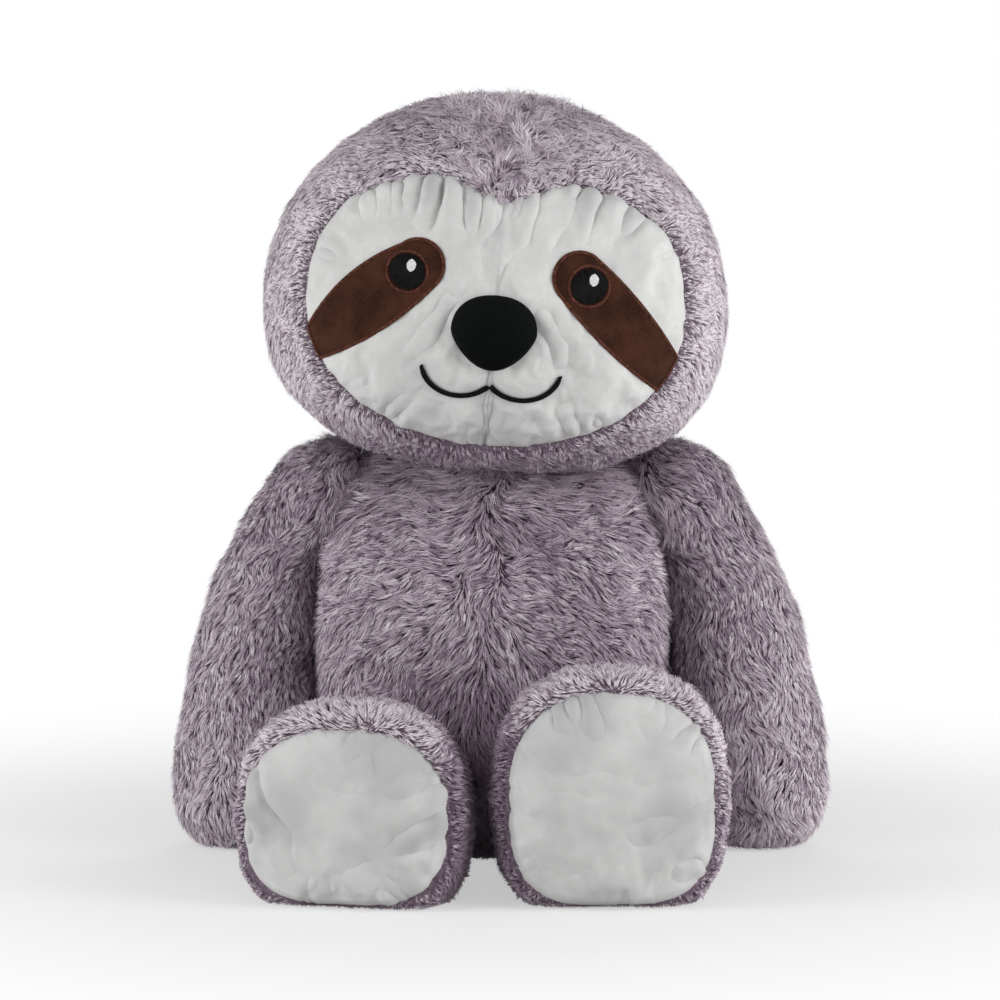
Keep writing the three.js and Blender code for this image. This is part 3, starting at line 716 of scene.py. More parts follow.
def fur_piece(name, skin, panel, seed, finish, body, sizes):
    """Plants the fur of one panel of a skin, as a plain mesh that rides on a body."""
    modifier = skin.modifiers.new("fur", "NODES")
    modifier.node_group = FUR_TREE
    given = {"Panel": panel, "Seed": seed, "Tuft": TUFT, "Finish": finish}
    set_inputs(modifier, {**FUR_SIZES, **sizes, **given})
    fur = evaluated_copy(skin, name)
    skin.modifiers.remove(modifier)
    mesh = fur.data
    count = len(mesh.vertices)

    def numbers(attribute, width=1):
        values = np.empty(count * width, np.float32)
        mesh.attributes[attribute].data.foreach_get("value" if width == 1 else "vector", values)
        return values if width == 1 else values.reshape(-1, width)

    along = numbers("along")
    side = numbers("side")
    tone = numbers("strand_tone")
    skin_normal = numbers("skin_normal", 3)
    corners = np.empty(len(mesh.loops), np.int32)
    mesh.loops.foreach_get("vertex_index", corners)
    # A tuft is a narrow strip of the UV map: across it lies its shade, and up it runs root to tip
    shade = np.clip(tone, 0.02, 0.98) + 0.004 * side
    points = points_of(mesh)
    crushed = PILE_BOTTOM + CRUSHED_PILE * (1 - along) + 0.5 * MM * shade
    points[:, 2] = np.maximum(points[:, 2], crushed)
    set_points(mesh, points)
    places = np.stack([shade, 0.01 + 0.98 * along], axis=1).astype(np.float32)
    own = normals_of(mesh)
    own *= np.sign(np.sum(own * skin_normal, axis=1))[:, None]
    add_vectors(mesh, "custom_normal", unit(0.5 * skin_normal + 0.5 * own))
    for spare in ("along", "side", "strand_tone", "skin_normal", *SKIN_FIELDS):
        if spare in mesh.attributes:
            mesh.attributes.remove(mesh.attributes[spare])
    mesh.uv_layers.new(name="OFBake").data.foreach_set("uv", places[corners].ravel())
    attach(fur, body)
    return fur


# Colours of the pile. The dark root is painted shade deep in the pile, and where the tone is paler the roots
# turn paler with it.
FUR_ROOT = (0.13, 0.09, 0.12)
FUR_ROOT_PALE = (0.70, 0.61, 0.68)
FUR_DARK = (0.26, 0.19, 0.25)
FUR_MIDDLE = (0.56, 0.46, 0.545)
FUR_LIGHT = (0.90, 0.83, 0.875)


def fur_finish():
    """Pile: dark at the root, which is painted shade deep in the pile, and pale at the tip, partly as painted
    light on the tips, with its shade kept across the UV map.
    """
    finish = Finish("grey_fur_pile", roughness=0.9, sheen=0.1, specular=0.1)
    place = finish.add("ShaderNodeUVMap", {"uv_map": "OFBake"})[0]
    parts = finish.add("ShaderNodeSeparateXYZ", {}, {0: place})
    shade, along = parts[0], parts[1]
    body = finish.ramp(shade, [(0.0, FUR_DARK), (0.5, FUR_MIDDLE), (1.0, FUR_LIGHT)])
    # Tips paler than the tuft's body: painted light on the tips.
    tip = finish.mix(shade * 0.6 + 0.12, body, FUR_LIGHT)
    lit = finish.mix(along.between(0.45, 1.0), body, tip)
    root = finish.ramp(shade, [(0.0, FUR_ROOT), (0.55, FUR_ROOT), (1.0, FUR_ROOT_PALE)])
    finish.feed("Base Color", finish.mix(along.between(0.0, 0.6), root, lit))
    return finish.material


def backing_finish():
    """The woven backing that the pile grows from, in the dark root colours as painted shade under the pile.
    """
    finish = Finish("fur_backing", roughness=0.95, specular=0.1)
    finish.feed("Base Color", finish.mix(finish.noise(900.0, 2.0), FUR_ROOT, FUR_DARK))
    return finish.material


FUR = fur_finish()
BACKING = backing_finish()


def dress(made, material):
    made.data.materials.clear()
    made.data.materials.append(material)
    made.data.shade_smooth()


# Skins of the furry bodies: each closed skin is drawn round its covers and what fills them

COVERS = {
    "torso": ["torso_front_left", "torso_front_right", "torso_back_left", "torso_back_right", "torso_base"],
    "head": ["hood_left", "hood_right", "head_back_left", "head_back_right"],
}
FILLING = {
    "torso": ["torso_stuffing", "seat_bead_bag", "seat_beads", "neck_stuffing"],
    "head": ["head_stuffing", "face_left", "face_right", "neck_stuffing"],
}
LIMB_COVERS = {"arm": ["arm_front", "arm_back"], "leg": ["leg_inner", "leg_outer"]}
LIMB_FILLING = {
    "arm": ["arm_stuffing", "shoulder_stuffing", "hand_bead_bag", "hand_beads"],
    "leg": ["leg_stuffing", "hip_stuffing", "foot_bead_bag", "foot_beads", "foot_sole"],
}
for limb in LIMB_COVERS:
    for side in SIGNS:
        COVERS[f"{limb}_{side}"] = [f"{node}_{side}" for node in LIMB_COVERS[limb]]
        FILLING[f"{limb}_{side}"] = [f"{node}_{side}" for node in LIMB_FILLING[limb]]

SKIN_VOXEL = 4 * MM
SKIN_ROUNDS = 8
SKIN_SWELL = 0.4 * MM
skins = {}
for body, covers in COVERS.items():
    skins[body] = cloth_skin(body + "_skin", covers + FILLING[body], SKIN_VOXEL, SKIN_ROUNDS, SKIN_SWELL)
trees = {body: tree_of(skin) for body, skin in skins.items()}

SHORTEST_PILE = 0.35
ROOM_FOR_PILE = 11 * MM
OPEN_PLACE = 14 * MM
DEEPEST_PILE = 8 * MM


def pile_left(points, body):
    """The share of the pile that other bodies leave room for, how open the place is, and where it grows."""
    gap = clearance(points, [tree for other, tree in trees.items() if other != body])
    room = np.clip(SHORTEST_PILE + gap / ROOM_FOR_PILE, SHORTEST_PILE, 1)
    room += (1 - room) * below_cheeks(points, body)
    return room, smooth(gap, 0, OPEN_PLACE), gap > -DEEPEST_PILE


def below_cheeks(points, body):
    """1 where the torso and the shoulders face the head beside the neck, and their fur fills the gap."""
    if body == "head":
        return np.zeros(len(points))
    beside = smooth(np.abs(points[:, 0]), 100 * MM, 75 * MM)
    return smooth(points[:, 2], 165 * MM, 190 * MM) * beside


ASIDE = np.array([1.0, 0.0, 0.0])


def comb_of_torso(points):
    """Down, and over the chest mostly outward from its centre seam."""
    x, z = points[:, 0] - TORSO_ASIDE, points[:, 2]
    seam_share = np.tanh((x + 6 * MM * drift(points, 14 * MM, 3)) / (22 * MM))
    outward = ASIDE * seam_share[:, None]
    chest = smooth(z, 60 * MM, 150 * MM)
    return DOWN * (1.1 - 0.85 * chest)[:, None] + outward * (0.25 + 0.9 * chest)[:, None]


def comb_of_head(points):
    """Away from the face all round, outward from the crown's seam, and down at the back."""
    own = in_head(points)
    x, y, z = own.T
    front = smooth(-y, -20 * MM, 40 * MM)
    radial = np.stack([x / FACE_HALF[0], np.zeros_like(x), (z + NOSE_BELOW - FACE_UP) / FACE_HALF[1]], axis=1)
    seam_share = np.tanh((x + 7 * MM * drift(points, 16 * MM, 5)) / (12 * MM))
    outward = ASIDE * seam_share[:, None]
    top = smooth(z, 30 * MM, 80 * MM)
    away = unit(radial) * (1.0 - 0.45 * top)[:, None] + outward * (1.1 * top)[:, None]
    fall = 0.25 * (1 - top) + 0.75 * (1 - front)
    return away * front[:, None] + DOWN * fall[:, None] + BACK * (0.5 * top * (1 - front))[:, None]


def comb_of_arm(points):
    """Down the arm, and a little outward at its top."""
    outward = ASIDE * np.sign(points[:, :1])
    return DOWN + 0.45 * outward * smooth(points[:, 2:], 20 * MM, 160 * MM)


def comb_of_leg(points, name):
    """Back along the leg and down its sides, parted along its top."""
    x, _, _ = in_sole(points, name).T
    return BACK + 0.5 * DOWN + 0.4 * ASIDE * np.tanh(-x / (36 * MM))[:, None]


def crown_share(points):
    """1 around the tousled seam and peak above the face, 0 elsewhere on the head."""
    own = in_head(points)
    near = np.exp(-((own[:, 0] / (24 * MM)) ** 2))
    return near * smooth(own[:, 2], 45 * MM, 70 * MM) * smooth(-own[:, 1], -10 * MM, 30 * MM)


def side_of(limb):
    """The side in a limb's name, such as left for leg_left."""
    return limb.split("_")[1]


def pile_of(points, body):
    """How long the pile grows where nothing is in its way."""
    if body == "head":
        own = in_head(points)
        rim = face_edge_share(own[:, 0], own[:, 2])
        rim = np.where(own[:, 1] < 0, smooth(rim, 1.25, 1.0), 0)
        return 0.92 - 0.25 * rim + 0.25 * crown_share(points) + 0.1 * drift(points, 20 * MM, 8)
    if body.startswith("leg"):
        _, depth, height = in_sole(points, side_of(body)).T
        return 0.95 - smooth(depth, -34 * MM, -10 * MM) * (0.3 + 0.35 * smooth(height, 0, -30 * MM))
    full = 0.85 if body.startswith("arm") else 1.0
    return full + 0.12 * drift(points, 26 * MM, 9) + 0.75 * below_cheeks(points, body)


# Middle and size of a darker spot in the fur's tone on the chest, below the chin
CHEST_DARK_SPOT = np.array([12, 168]) * MM
CHEST_DARK_SPOT_SIZE = np.array([20, 14]) * MM


def tone_of(points, body):
    """How pale the fur is, from 0 to 1: its own tone, with painted light and painted shade on it."""
    uneven = 0.05 * drift(points, 45 * MM, 21) + 0.06 * drift(points, 14 * MM, 22)
    if body == "head":
        own = in_head(points)
        rim = np.where(own[:, 1] < 0, smooth(face_edge_share(own[:, 0], own[:, 2]), 1.35, 1.05), 0)
        # Paler on the hood's flanks: painted light from the lamps at the sides.
        flank = smooth(np.abs(own[:, 0]), 50 * MM, 100 * MM)
        # Darker towards the chin: painted shade under the head.
        shade_under_chin = smooth(-own[:, 2], 45 * MM, 75 * MM)
        return 0.89 + 0.12 * flank + 0.06 * rim - 0.44 * shade_under_chin + uneven
    if body == "torso":
        seam = np.exp(-(((points[:, 0] - TORSO_ASIDE) / (9 * MM)) ** 2))
        dark_spot = np.exp(-((((points[:, [0, 2]] - CHEST_DARK_SPOT) / CHEST_DARK_SPOT_SIZE) ** 2).sum(axis=1)))
        # Darker low on the belly between the legs: painted shade where the legs and belly keep the light off.
        low = smooth(points[:, 2], 120 * MM, 60 * MM) * smooth(-points[:, 1], 20 * MM, 60 * MM)
        low *= smooth(np.abs(points[:, 0]), 70 * MM, 30 * MM)
        return 0.54 - 0.07 * seam - 0.20 * dark_spot - 0.8 * low + uneven
    if body.startswith("arm"):
        # Paler on the arms' outer sides: painted light from the lamps at the sides.
        outer = smooth(np.abs(points[:, 0]), 105 * MM, 155 * MM)
        return 0.48 + 0.30 * outer + uneven
    place = in_sole(points, side_of(body))
    collar = smooth(place[:, 1], -40 * MM, -8 * MM) * smooth(place[:, 2], -20 * MM, 30 * MM)
    # Darker where the legs face each other and the belly: painted shade between them.
    between = smooth(np.abs(points[:, 0] + 10 * MM), 30 * MM, 10 * MM)
    return 0.52 + 0.6 * collar * (1 - 0.7 * between) - 0.6 * between + uneven


def sole_frame(name):
    """The sole's middle on the leg's end, with x across, y out of the sole and z up it."""
    leg = LEGS[name]
    lean = math.radians(leg["lean"])
    height = SOLE_ABOVE_FLOOR + (leg["half_height"] - SOLE_RIM) * math.cos(lean)
    turn = Matrix.Rotation(math.radians(leg["splay"]), 4, "Z")
    middle = Vector((*leg["hip"], 0)) * MM + turn @ Vector((0, -LEG_LENGTH, height))
    to_sole = Matrix.Rotation(-lean, 4, "X") @ Matrix.Rotation(math.pi, 4, "Z")
    return Matrix.Translation(middle) @ turn @ to_sole


def sole_halves(name):
    """Half the width and half the height of a sole's cloth."""
    return FOOT_HALF_WIDTH - SOLE_RIM, LEGS[name]["half_height"] - SOLE_RIM


def in_sole(points, name):
    turn = np.array(sole_frame(name).inverted())
    return points @ turn[:3, :3].T + turn[:3, 3]


def comb_of(points, body):
    if body.startswith("leg"):
        return comb_of_leg(points, side_of(body))
    if body.startswith("arm"):
        return comb_of_arm(points)
    return comb_of_head(points) if body == "head" else comb_of_torso(points)


BASE_SEAM_UP = 24 * MM
TORSO_SEAM_BACK = 5 * MM
HOOD_SEAM_BACK = 12 * MM


def panels_of(body, points):
    """The share of each vertex that belongs to each panel, by the panel's name."""
    x, y = points[:, 0], points[:, 1]
    left = (x > 0).astype(float)
    if body == "torso":
        left = (x > TORSO_ASIDE).astype(float)
        front = (y < TORSO_SEAM_BACK).astype(float)
        base = (points[:, 2] < BASE_SEAM_UP).astype(float)
        return {
            "torso_fur_front_left": left * front * (1 - base),
            "torso_fur_front_right": (1 - left) * front * (1 - base),
            "torso_fur_back_left": left * (1 - front) * (1 - base),
            "torso_fur_back_right": (1 - left) * (1 - front) * (1 - base),
            "torso_fur_base": base,
        }
    if body == "head":
        own = in_head(points)
        left = (own[:, 0] > 0).astype(float)
        front = (own[:, 1] < HOOD_SEAM_BACK).astype(float)
        crown = crown_share(points)
        return {
            "crown_fur": crown * front,
            "hood_fur_left": left * front * (1 - 0.55 * crown),
            "hood_fur_right": (1 - left) * front * (1 - 0.55 * crown),
            "head_fur_back_left": left * (1 - front),
            "head_fur_back_right": (1 - left) * (1 - front),
        }
    limb, name = body.split("_")
    if limb == "arm":
        front = (y < 0).astype(float)
        return {f"arm_fur_front_{name}": front, f"arm_fur_back_{name}": 1 - front}
    middle = np.average(x)
    outer = ((x > middle) == (middle > 0)).astype(float)
    return {f"leg_fur_outer_{name}": outer, f"leg_fur_inner_{name}": 1 - outer}


HEAD_PILE = {"Rise": 3.6 * MM, "Looseness": 0.6 * MM}
HEAD_PANELS = ("hood_fur_left", "hood_fur_right", "head_fur_back_left", "head_fur_back_right")
OWN_PILE = dict.fromkeys(HEAD_PANELS, HEAD_PILE)
OWN_PILE["crown_fur"] = {
    "Rise": 5.5 * MM,
    "Swirl": 2.4,
    "Swirl size": 11 * MM,
    "Lock size": 5 * MM,
    "Lock pull": 1.1,
}


def bare_share(body, points):
    """0 where a smooth panel takes the fur's place."""
    if body == "head":
        own = in_head(points)
        share = face_edge_share(own[:, 0], own[:, 2])
        return np.where(own[:, 1] < 0, smooth(share, 0.99, 1.03), 1.0)
    if body.startswith("leg"):
        name = side_of(body)
        x, depth, z = in_sole(points, name).T
        share = sole_edge_share(x, z, *sole_halves(name))
        return np.where(depth > -25 * MM, smooth(share, 0.985, 1.02), 1.0)
    return np.ones(len(points))


UNDER_CLOTH = 5 * MM
SHADE_WHERE_TIGHT = 0.55

for number, (body, skin) in enumerate(skins.items()):
    mesh = skin.data
    points = points_of(mesh)
    normals = normals_of(mesh)
    room, tight, free = pile_left(points, body)
    add_vectors(mesh, "comb", along_surface(comb_of(points, body), normals))
    add_numbers(mesh, "pile", pile_of(points, body) * room)
    # Fur close to another body is darker: painted shade in the crease between them.
    add_numbers(mesh, "tone", tone_of(points, body) - SHADE_WHERE_TIGHT * (1 - tight))
    covered = bare_share(body, points)
    grown = free * covered
    sunk = points - normals * (UNDER_CLOTH * (1 - covered))[:, None]
    sunk[:, 2] = np.maximum(sunk[:, 2], PILE_BOTTOM + CRUSHED_PILE)
    set_points(mesh, sunk)
    dress(skin, BACKING)
    for order, (name, share) in enumerate(panels_of(body, points).items()):
        add_numbers(mesh, name, share * grown)
        fur_piece(name, skin, name, 10 * number + order + 1, FUR, body, OWN_PILE.get(name, {}))
    for attribute in list(mesh.attributes):
        if attribute.name in SKIN_FIELDS or "fur" in attribute.name:
            mesh.attributes.remove(attribute)
    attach(skin, body)
    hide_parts(*COVERS[body])

discard(TUFT)


# Finishes of the smooth cloths and threads


# Painted shade in the cloth's folds and seam: how strong it is, and its grey
CREASE_SHADE = 0.4
CREASE_SHADE_GREY = (0.33, 0.335, 0.335)
SLUB_GREY = (0.60, 0.60, 0.60)


def cotton_finish(name, dim, bright):
    """White cotton: a plain weave too fine to count, faint shade changes, a soft nap, and painted shade in
    its creases.
    """
    finish = Finish(name, roughness=0.92, sheen=0.12, specular=0.2)
    slub = finish.noise(420.0, 2.0)
    colour = finish.mix(finish.noise(28.0, 3.0).between(0.35, 0.7), dim, bright)
    colour = finish.mix(slub.between(0.3, 0.8) * 0.25, colour, SLUB_GREY)
    crease = finish.add("ShaderNodeAttribute", {"attribute_name": "crease"})["Fac"]
    finish.feed("Base Color", finish.mix(crease * CREASE_SHADE, colour, CREASE_SHADE_GREY))
    finish.bump(finish.weave(9000) * 0.35 + slub, 0.25, 0.2 * MM)
    return finish.material


def velour_finish():
    """Brown velour, whose short nap lies this way and that in soft patches."""
    finish = Finish("brown_velour", roughness=0.95, sheen=0.12, sheen_roughness=0.4, specular=0.1)
    nap = finish.noise(60.0, 4.0, roughness=0.6)
    fibre = finish.noise(1600.0, 2.0)
    colour = finish.mix(nap.between(0.35, 0.68), (0.030, 0.011, 0.006), (0.068, 0.025, 0.014))
    finish.feed("Base Color", finish.mix(fibre.between(0.45, 0.75) * 0.5, colour, (0.095, 0.038, 0.022)))
    finish.bump(fibre, 0.5, 0.2 * MM)
    return finish.material


def black_cloth_finish():
    """The nose's fine black cloth, with a soft sheen."""
    finish = Finish("black_nose_cloth", specular=0.05)
    fibre = finish.noise(1500.0, 3.0)
    colour = finish.mix(fibre.between(0.4, 0.8), (0.0015, 0.002, 0.002), (0.006, 0.007, 0.007))
    finish.feed("Base Color", colour)
    finish.feed("Roughness", 0.62 + finish.noise(90.0, 2.0) * 0.2)
    finish.bump(fibre, 0.4, 0.15 * MM)
    return finish.material


def thread_finish(name, dark, light, roughness=0.45):
    """Embroidery thread, a little lighter here and there along the row."""
    finish = Finish(name, roughness=roughness, specular=0.08)
    ply = finish.noise(700.0, 2.0)
    finish.feed("Base Color", finish.mix(ply.between(0.3, 0.7), dark, light))
    finish.bump(ply, 0.3, 0.1 * MM)
    return finish.material


COTTON = cotton_finish("white_cotton", (0.69, 0.69, 0.68), (0.80, 0.80, 0.785))
# The soles' cotton is the face's cloth made greyer and more uneven: painted shade on the soles.
SHADED_SOLE_COTTON = cotton_finish("sole_cotton", (0.56, 0.56, 0.555), (0.74, 0.74, 0.73))
VELOUR = velour_finish()
BLACK_CLOTH = black_cloth_finish()
BLACK_THREAD = thread_finish("black_thread", (0.002, 0.002, 0.0022), (0.006, 0.006, 0.0065), 0.6)
BROWN_THREAD = thread_finish("brown_thread", (0.055, 0.017, 0.010), (0.150, 0.055, 0.036))
WHITE_THREAD = thread_finish("white_thread", (0.72, 0.72, 0.71), (0.88, 0.88, 0.87))


# Embroidery: one Geometry Nodes tree lays threads side by side along a line


def thread_length():
    """One laid thread of length 1 along X and thickness 1, rounded and thinner at its ends."""
    form = bmesh.new()
    bmesh.ops.create_uvsphere(form, u_segments=6, v_segments=6, radius=0.5)
    bmesh.ops.rotate(form, cent=(0, 0, 0), matrix=Matrix.Rotation(math.pi / 2, 3, "Y"), verts=form.verts)
    for vertex in form.verts:
        along = abs(2 * vertex.co.x)
        vertex.co.x = math.copysign(0.5 * along**0.6, vertex.co.x)
    bmesh.ops.recalc_face_normals(form, faces=form.faces)
    mesh = bpy.data.meshes.new("thread_length")
    form.to_mesh(mesh)
    form.free()
    mesh.shade_smooth()
    return new_object("thread_length", mesh)


def stitch_tree():
    inputs = {"Line": "Geometry", "Seed": "Int", "Thread": "Object", "Finish": "Material"}
    inputs.update(dict.fromkeys(("Spacing", "Thickness", "Slant", "Unevenness"), "Float"))
    bench, given = geometry_tree("satin stitches", inputs)
    curve = bench.add("GeometryNodeMeshToCurve", {}, {"Mesh": given["Line"]})
    spaced = {"Curve": curve[0], "Length": given["Spacing"]}
    row = bench.add("GeometryNodeResampleCurve", {"mode": "LENGTH"}, spaced)
    tangent = bench.add("GeometryNodeInputTangent")[0]
    out = bench.stored("out", "FLOAT_VECTOR")
    reach = bench.stored("reach", "FLOAT")
    across = bench.vector("CROSS_PRODUCT", out, tangent)
    ends = {2: -1.0, 3: 1.0, "Seed": given["Seed"]}
    uneven = bench.add("FunctionNodeRandomValue", {"data_type": "FLOAT"}, ends)[1]
    slanted = bench.add(
        "ShaderNodeVectorRotate",
        {"rotation_type": "AXIS_ANGLE"},
        {"Vector": across, "Axis": out, "Angle": given["Slant"] + uneven * given["Unevenness"]},
    )
    axes = {"primary_axis": "X", "secondary_axis": "Z"}
    turn = bench.add("FunctionNodeAxesToRotation", axes, {0: slanted[0], 1: out})
    length = reach * (1 + uneven * given["Unevenness"])
    scale = bench.add("ShaderNodeCombineXYZ", {}, {0: length, 1: given["Thickness"], 2: given["Thickness"]})
    thread = bench.add("GeometryNodeObjectInfo", {}, {"Object": given["Thread"]})
    laid = bench.add(
        "GeometryNodeInstanceOnPoints",
        {},
        {"Points": row[0], "Instance": thread["Geometry"], "Rotation": turn[0], "Scale": scale[0]},
    )
    return end_tree(bench, laid[0], given["Finish"])


STITCH_SIZES = {"Spacing": 0.5 * MM, "Thickness": 0.7 * MM, "Slant": 0.0, "Unevenness": 0.05, "Seed": 1}
STITCH_TREE = stitch_tree()
THREAD = thread_length()


def stitched_row(name, line, lift, reach, finish, closed=False, **sizes):
    """Threads laid across a line, which lies over the face by a lift in millimetres.

    Each thread is as long as reach says, for the whole line or for each of its points.
    """
    points, outs = on_face(line[:, 0], line[:, 1], lift * MM)
    count = len(points)
    edges = [(i, i + 1) for i in range(count - 1)] + ([(count - 1, 0)] if closed else [])
    mesh = bpy.data.meshes.new(name + "_line")
    mesh.from_pydata(points.tolist(), edges, [])
    add_vectors(mesh, "out", outs)
    add_numbers(mesh, "reach", np.broadcast_to(reach, count))
    row = new_object(name + "_line", mesh)
    modifier = row.modifiers.new("stitches", "NODES")
    modifier.node_group = STITCH_TREE
    set_inputs(modifier, {**STITCH_SIZES, "Thread": THREAD, "Finish": finish, **sizes})
    made = evaluated_copy(row, name)
    discard(row)
    return made


def joined(name, parts):
    """Several objects as one mesh object, with each part's material kept."""
    for other in bpy.context.selected_objects:
        other.select_set(False)
    for part in parts:
        part.select_set(True)
    bpy.context.view_layer.objects.active = parts[0]
    bpy.ops.object.join()
    parts[0].name = name
    parts[0].data.name = name
    return parts[0]


# Face, soles and nose

# Places on the face are in millimetres from the nose's middle, aside and up. The ends of the eye
# patches and the pupil have a radius too. The flanks' bows are above and below. The glint has its
# place in the pupil and its half sizes
PATCH_INNER = (41, 30.8, 14)
PATCH_OUTER = {1: (92.5, -18.5, 9.3), -1: (92.5, -16.8, 7.8)}
PATCH_BOW = {1: (3.2, 2.5), -1: (7, 4)}
PUPIL = (46.1, 27, 9.3)
GLINT = (2, 3.2, 2.6, 2.9)
MOUTH = [(0.9, -27.6), (15, -33.4), (27, -30.6), (35.3, -19.7)]
NOSE_HALF = (22.4, 19.5)
NOSE_PROUD = 10
NOSE_TAPER = 0.28
NOSE_FULLNESS = 2.6
NOSE_DOME = 2.2
PATCH_RISE = 0.7 * MM
PUPIL_RISE = 1.1 * MM
EDGING_WIDTH = 1.9 * MM
RIM_WIDTH = 1.7 * MM
MOUTH_WIDTH = 3.4 * MM
FACE_GROWTH = 0.04
SOLE_GROWTH = 0.05
SOLE_SET_BACK = 2.0 * MM
CLOTH_WALL = 1.2 * MM
CLOTH_BOTTOM = 0.6 * MM


def rounded_outline(count, half_width, half_height, above, below):
    """Points of a closed outline, whose powers make it rounder or squarer above and below."""
    angle = np.linspace(0, 2 * np.pi, count, endpoint=False)
    c, s = np.cos(angle), np.sin(angle)
    power = np.where(s > 0, above, below)
    x = half_width * np.sign(c) * np.abs(c) ** power
    return x, half_height * np.sign(s) * np.abs(s) ** power


def face_outline(share):
    x, z = rounded_outline(360, *FACE_HALF, 2 / FACE_FULLNESS_ABOVE, 2 / FACE_FULLNESS_BELOW)
    peak = PEAK_DROP * np.maximum(0, 1 - np.abs(x) / PEAK_HALF) ** PEAK_SHARPNESS
    z = z - np.where(z > 0, peak, 0)
    return np.stack([x * share, z * share + FACE_UP], axis=1)


def patch_outline(sign, inset=0.0):
    """An eye patch: a round inner end, two bowed flanks, and an outer end that runs under the hood's edge."""
    (ix, iz, ir), (ox, oz, orr) = PATCH_INNER, PATCH_OUTER[sign]
    above, below = PATCH_BOW[sign]
    along = math.atan2(oz - iz, ox - ix)

    def arc(x, z, radius, start, end):
        angle = along + np.linspace(start, end, 30)
        return np.stack([x + (radius - inset) * np.cos(angle), z + (radius - inset) * np.sin(angle)], axis=1)

    def flank(turn, bow):
        share = np.linspace(0, 1, 20)[1:-1]
        reach = orr + (ir - orr) * share - inset + bow * 4 * share * (1 - share)
        x = ox + (ix - ox) * share + reach * math.cos(along + turn)
        return np.stack([x, oz + (iz - oz) * share + reach * math.sin(along + turn)], axis=1)

    quarter = math.pi / 2
    inner_end = arc(ix, iz, ir, quarter, 3 * quarter)
    outer_end = arc(ox, oz, orr, -quarter, quarter)
    points = np.vstack([inner_end, flank(-quarter, below)[::-1], outer_end, flank(quarter, above)])
    points = resampled(points, 1.0) * MM
    share = face_edge_share(points[:, 0], points[:, 1] - NOSE_BELOW)
    middle = np.array([0, FACE_UP])
    pull = np.minimum(1, 0.99 / np.maximum(share, 1e-6))[:, None]
    points = middle + (points - middle) * pull
    return points * [sign, 1]


def mouth_line(sign, count=40):
    """The smile's line on one side: a curve through its points."""
    given = np.array(MOUTH) * MM
    reach = np.append(0, np.cumsum(np.hypot(*np.diff(given, axis=0).T)))
    places = np.linspace(0, reach[-1], count)
    fits = [np.polynomial.polynomial.polyfit(reach, given[:, k], 3) for k in (0, 1)]
    line = np.stack([np.polynomial.polynomial.polyval(places, fit) for fit in fits], axis=1)
    return line * [sign, 1]


def nearest_gap(points, line):
    """Distance of each point of the front view to the nearest point of a line."""
    return np.hypot(points[:, None, 0] - line[None, :, 0], points[:, None, 1] - line[None, :, 1]).min(axis=1)


def inside_outline(points, outline):
    """Which points of the front view lie inside a closed outline."""
    x, z = points[:, 0][:, None], points[:, 1][:, None]
    ax, az = outline[:, 0][None, :], outline[:, 1][None, :]
    bx, bz = np.roll(outline[:, 0], -1)[None, :], np.roll(outline[:, 1], -1)[None, :]
    crosses = ((az > z) != (bz > z)) & (x < (bx - ax) * (z - az) / (bz - az + 1e-12) + ax)
    return crosses.sum(axis=1) % 2 == 1


# Long soft folds of the cloth: start, end, width and depth in millimetres, from the nose or the sole's middle
FACE_FOLDS = [
    ((2, 70), (-6, 20), 5.0, 2.6),
    ((-54, 84), (-55, 40), 5.4, 2.6),
    ((-36, 88), (-40, 40), 6.4, 3.4),
    ((-20, 80), (-10, 34), 6.0, 2.6),
    ((17, 80), (4, 30), 6.0, 2.8),
    ((31, 86), (22, 44), 5.0, 2.2),
    ((48, 88), (32, 36), 6.4, 3.4),
    ((70, 86), (60, 44), 4.2, 1.5),
    ((-72, 74), (-66, 44), 5.0, 2.2),
    ((-26, 12), (-44, -22), 6.0, 1.4),
    ((27, 6), (42, -26), 6.0, 1.2),
    ((-50, -50), (-40, -30), 4.6, 1.3),
    ((46, -50), (36, -32), 4.6, 1.3),
]
SOLE_FOLDS = {
    "right": [
        ((52, 24), (32, -26), 7.0, 3.2),
        ((-52, 0), (-8, -28), 7.0, 3.2),
        ((50, 2), (22, -10), 5.0, 1.6),
        ((-46, 22), (-16, 2), 5.4, 1.7),
        ((-20, 48), (-8, 18), 5.0, 1.3),
    ],
    "left": [
        ((14, 54), (8, 22), 5.0, 2.2),
        ((27, 50), (20, 24), 4.6, 2.0),
        ((-60, 2), (-14, -18), 5.2, 1.5),
        ((-66, -52), (-14, -22), 4.6, 1.2),
        ((60, 4), (18, -16), 5.0, 1.4),
        ((-56, 48), (-20, 12), 4.6, 1.3),
    ],
}


SEAM_WIDTH = 1.0 * MM
CHIN_SEAM = 1.8 * MM
BROW_SEAM = 0.7 * MM
FOLD_DEPTH = 1.6
SOLE_FOLD_DEPTH = 0.75 * FOLD_DEPTH
SOLE_TUCK = 7 * MM


def folded(flat, folds, strength):
    """How far each place lies behind the smooth cloth, in valleys that start at the seam and fade."""
    depth = np.zeros(len(flat))
    for start, end, width, deep in folds:
        start, end = np.array(start) * MM, np.array(end) * MM
        length = np.linalg.norm(end - start)
        along = (flat - start) @ (end - start) / length**2
        spread = width * MM * (0.8 + 0.5 * np.clip(along, 0, 1))
        across = (flat - start) @ np.array([start[1] - end[1], end[0] - start[0]]) / length / spread
        fade = smooth(along, -0.3, 0.0) * smooth(along, 1.2, 0.25)
        banks = 0.45 * np.exp(-((np.abs(across) - 1.9) ** 2))
        depth += deep * MM * fade * (np.exp(-(across**2)) - banks)
    return strength * depth


def crease_shade_share(depth):
    """How much painted shade a fold of a given depth gets."""
    return smooth(depth, 0, 5.4 * MM)


def everywhere(place):
    """Leaves no place of the seam out."""
    return True


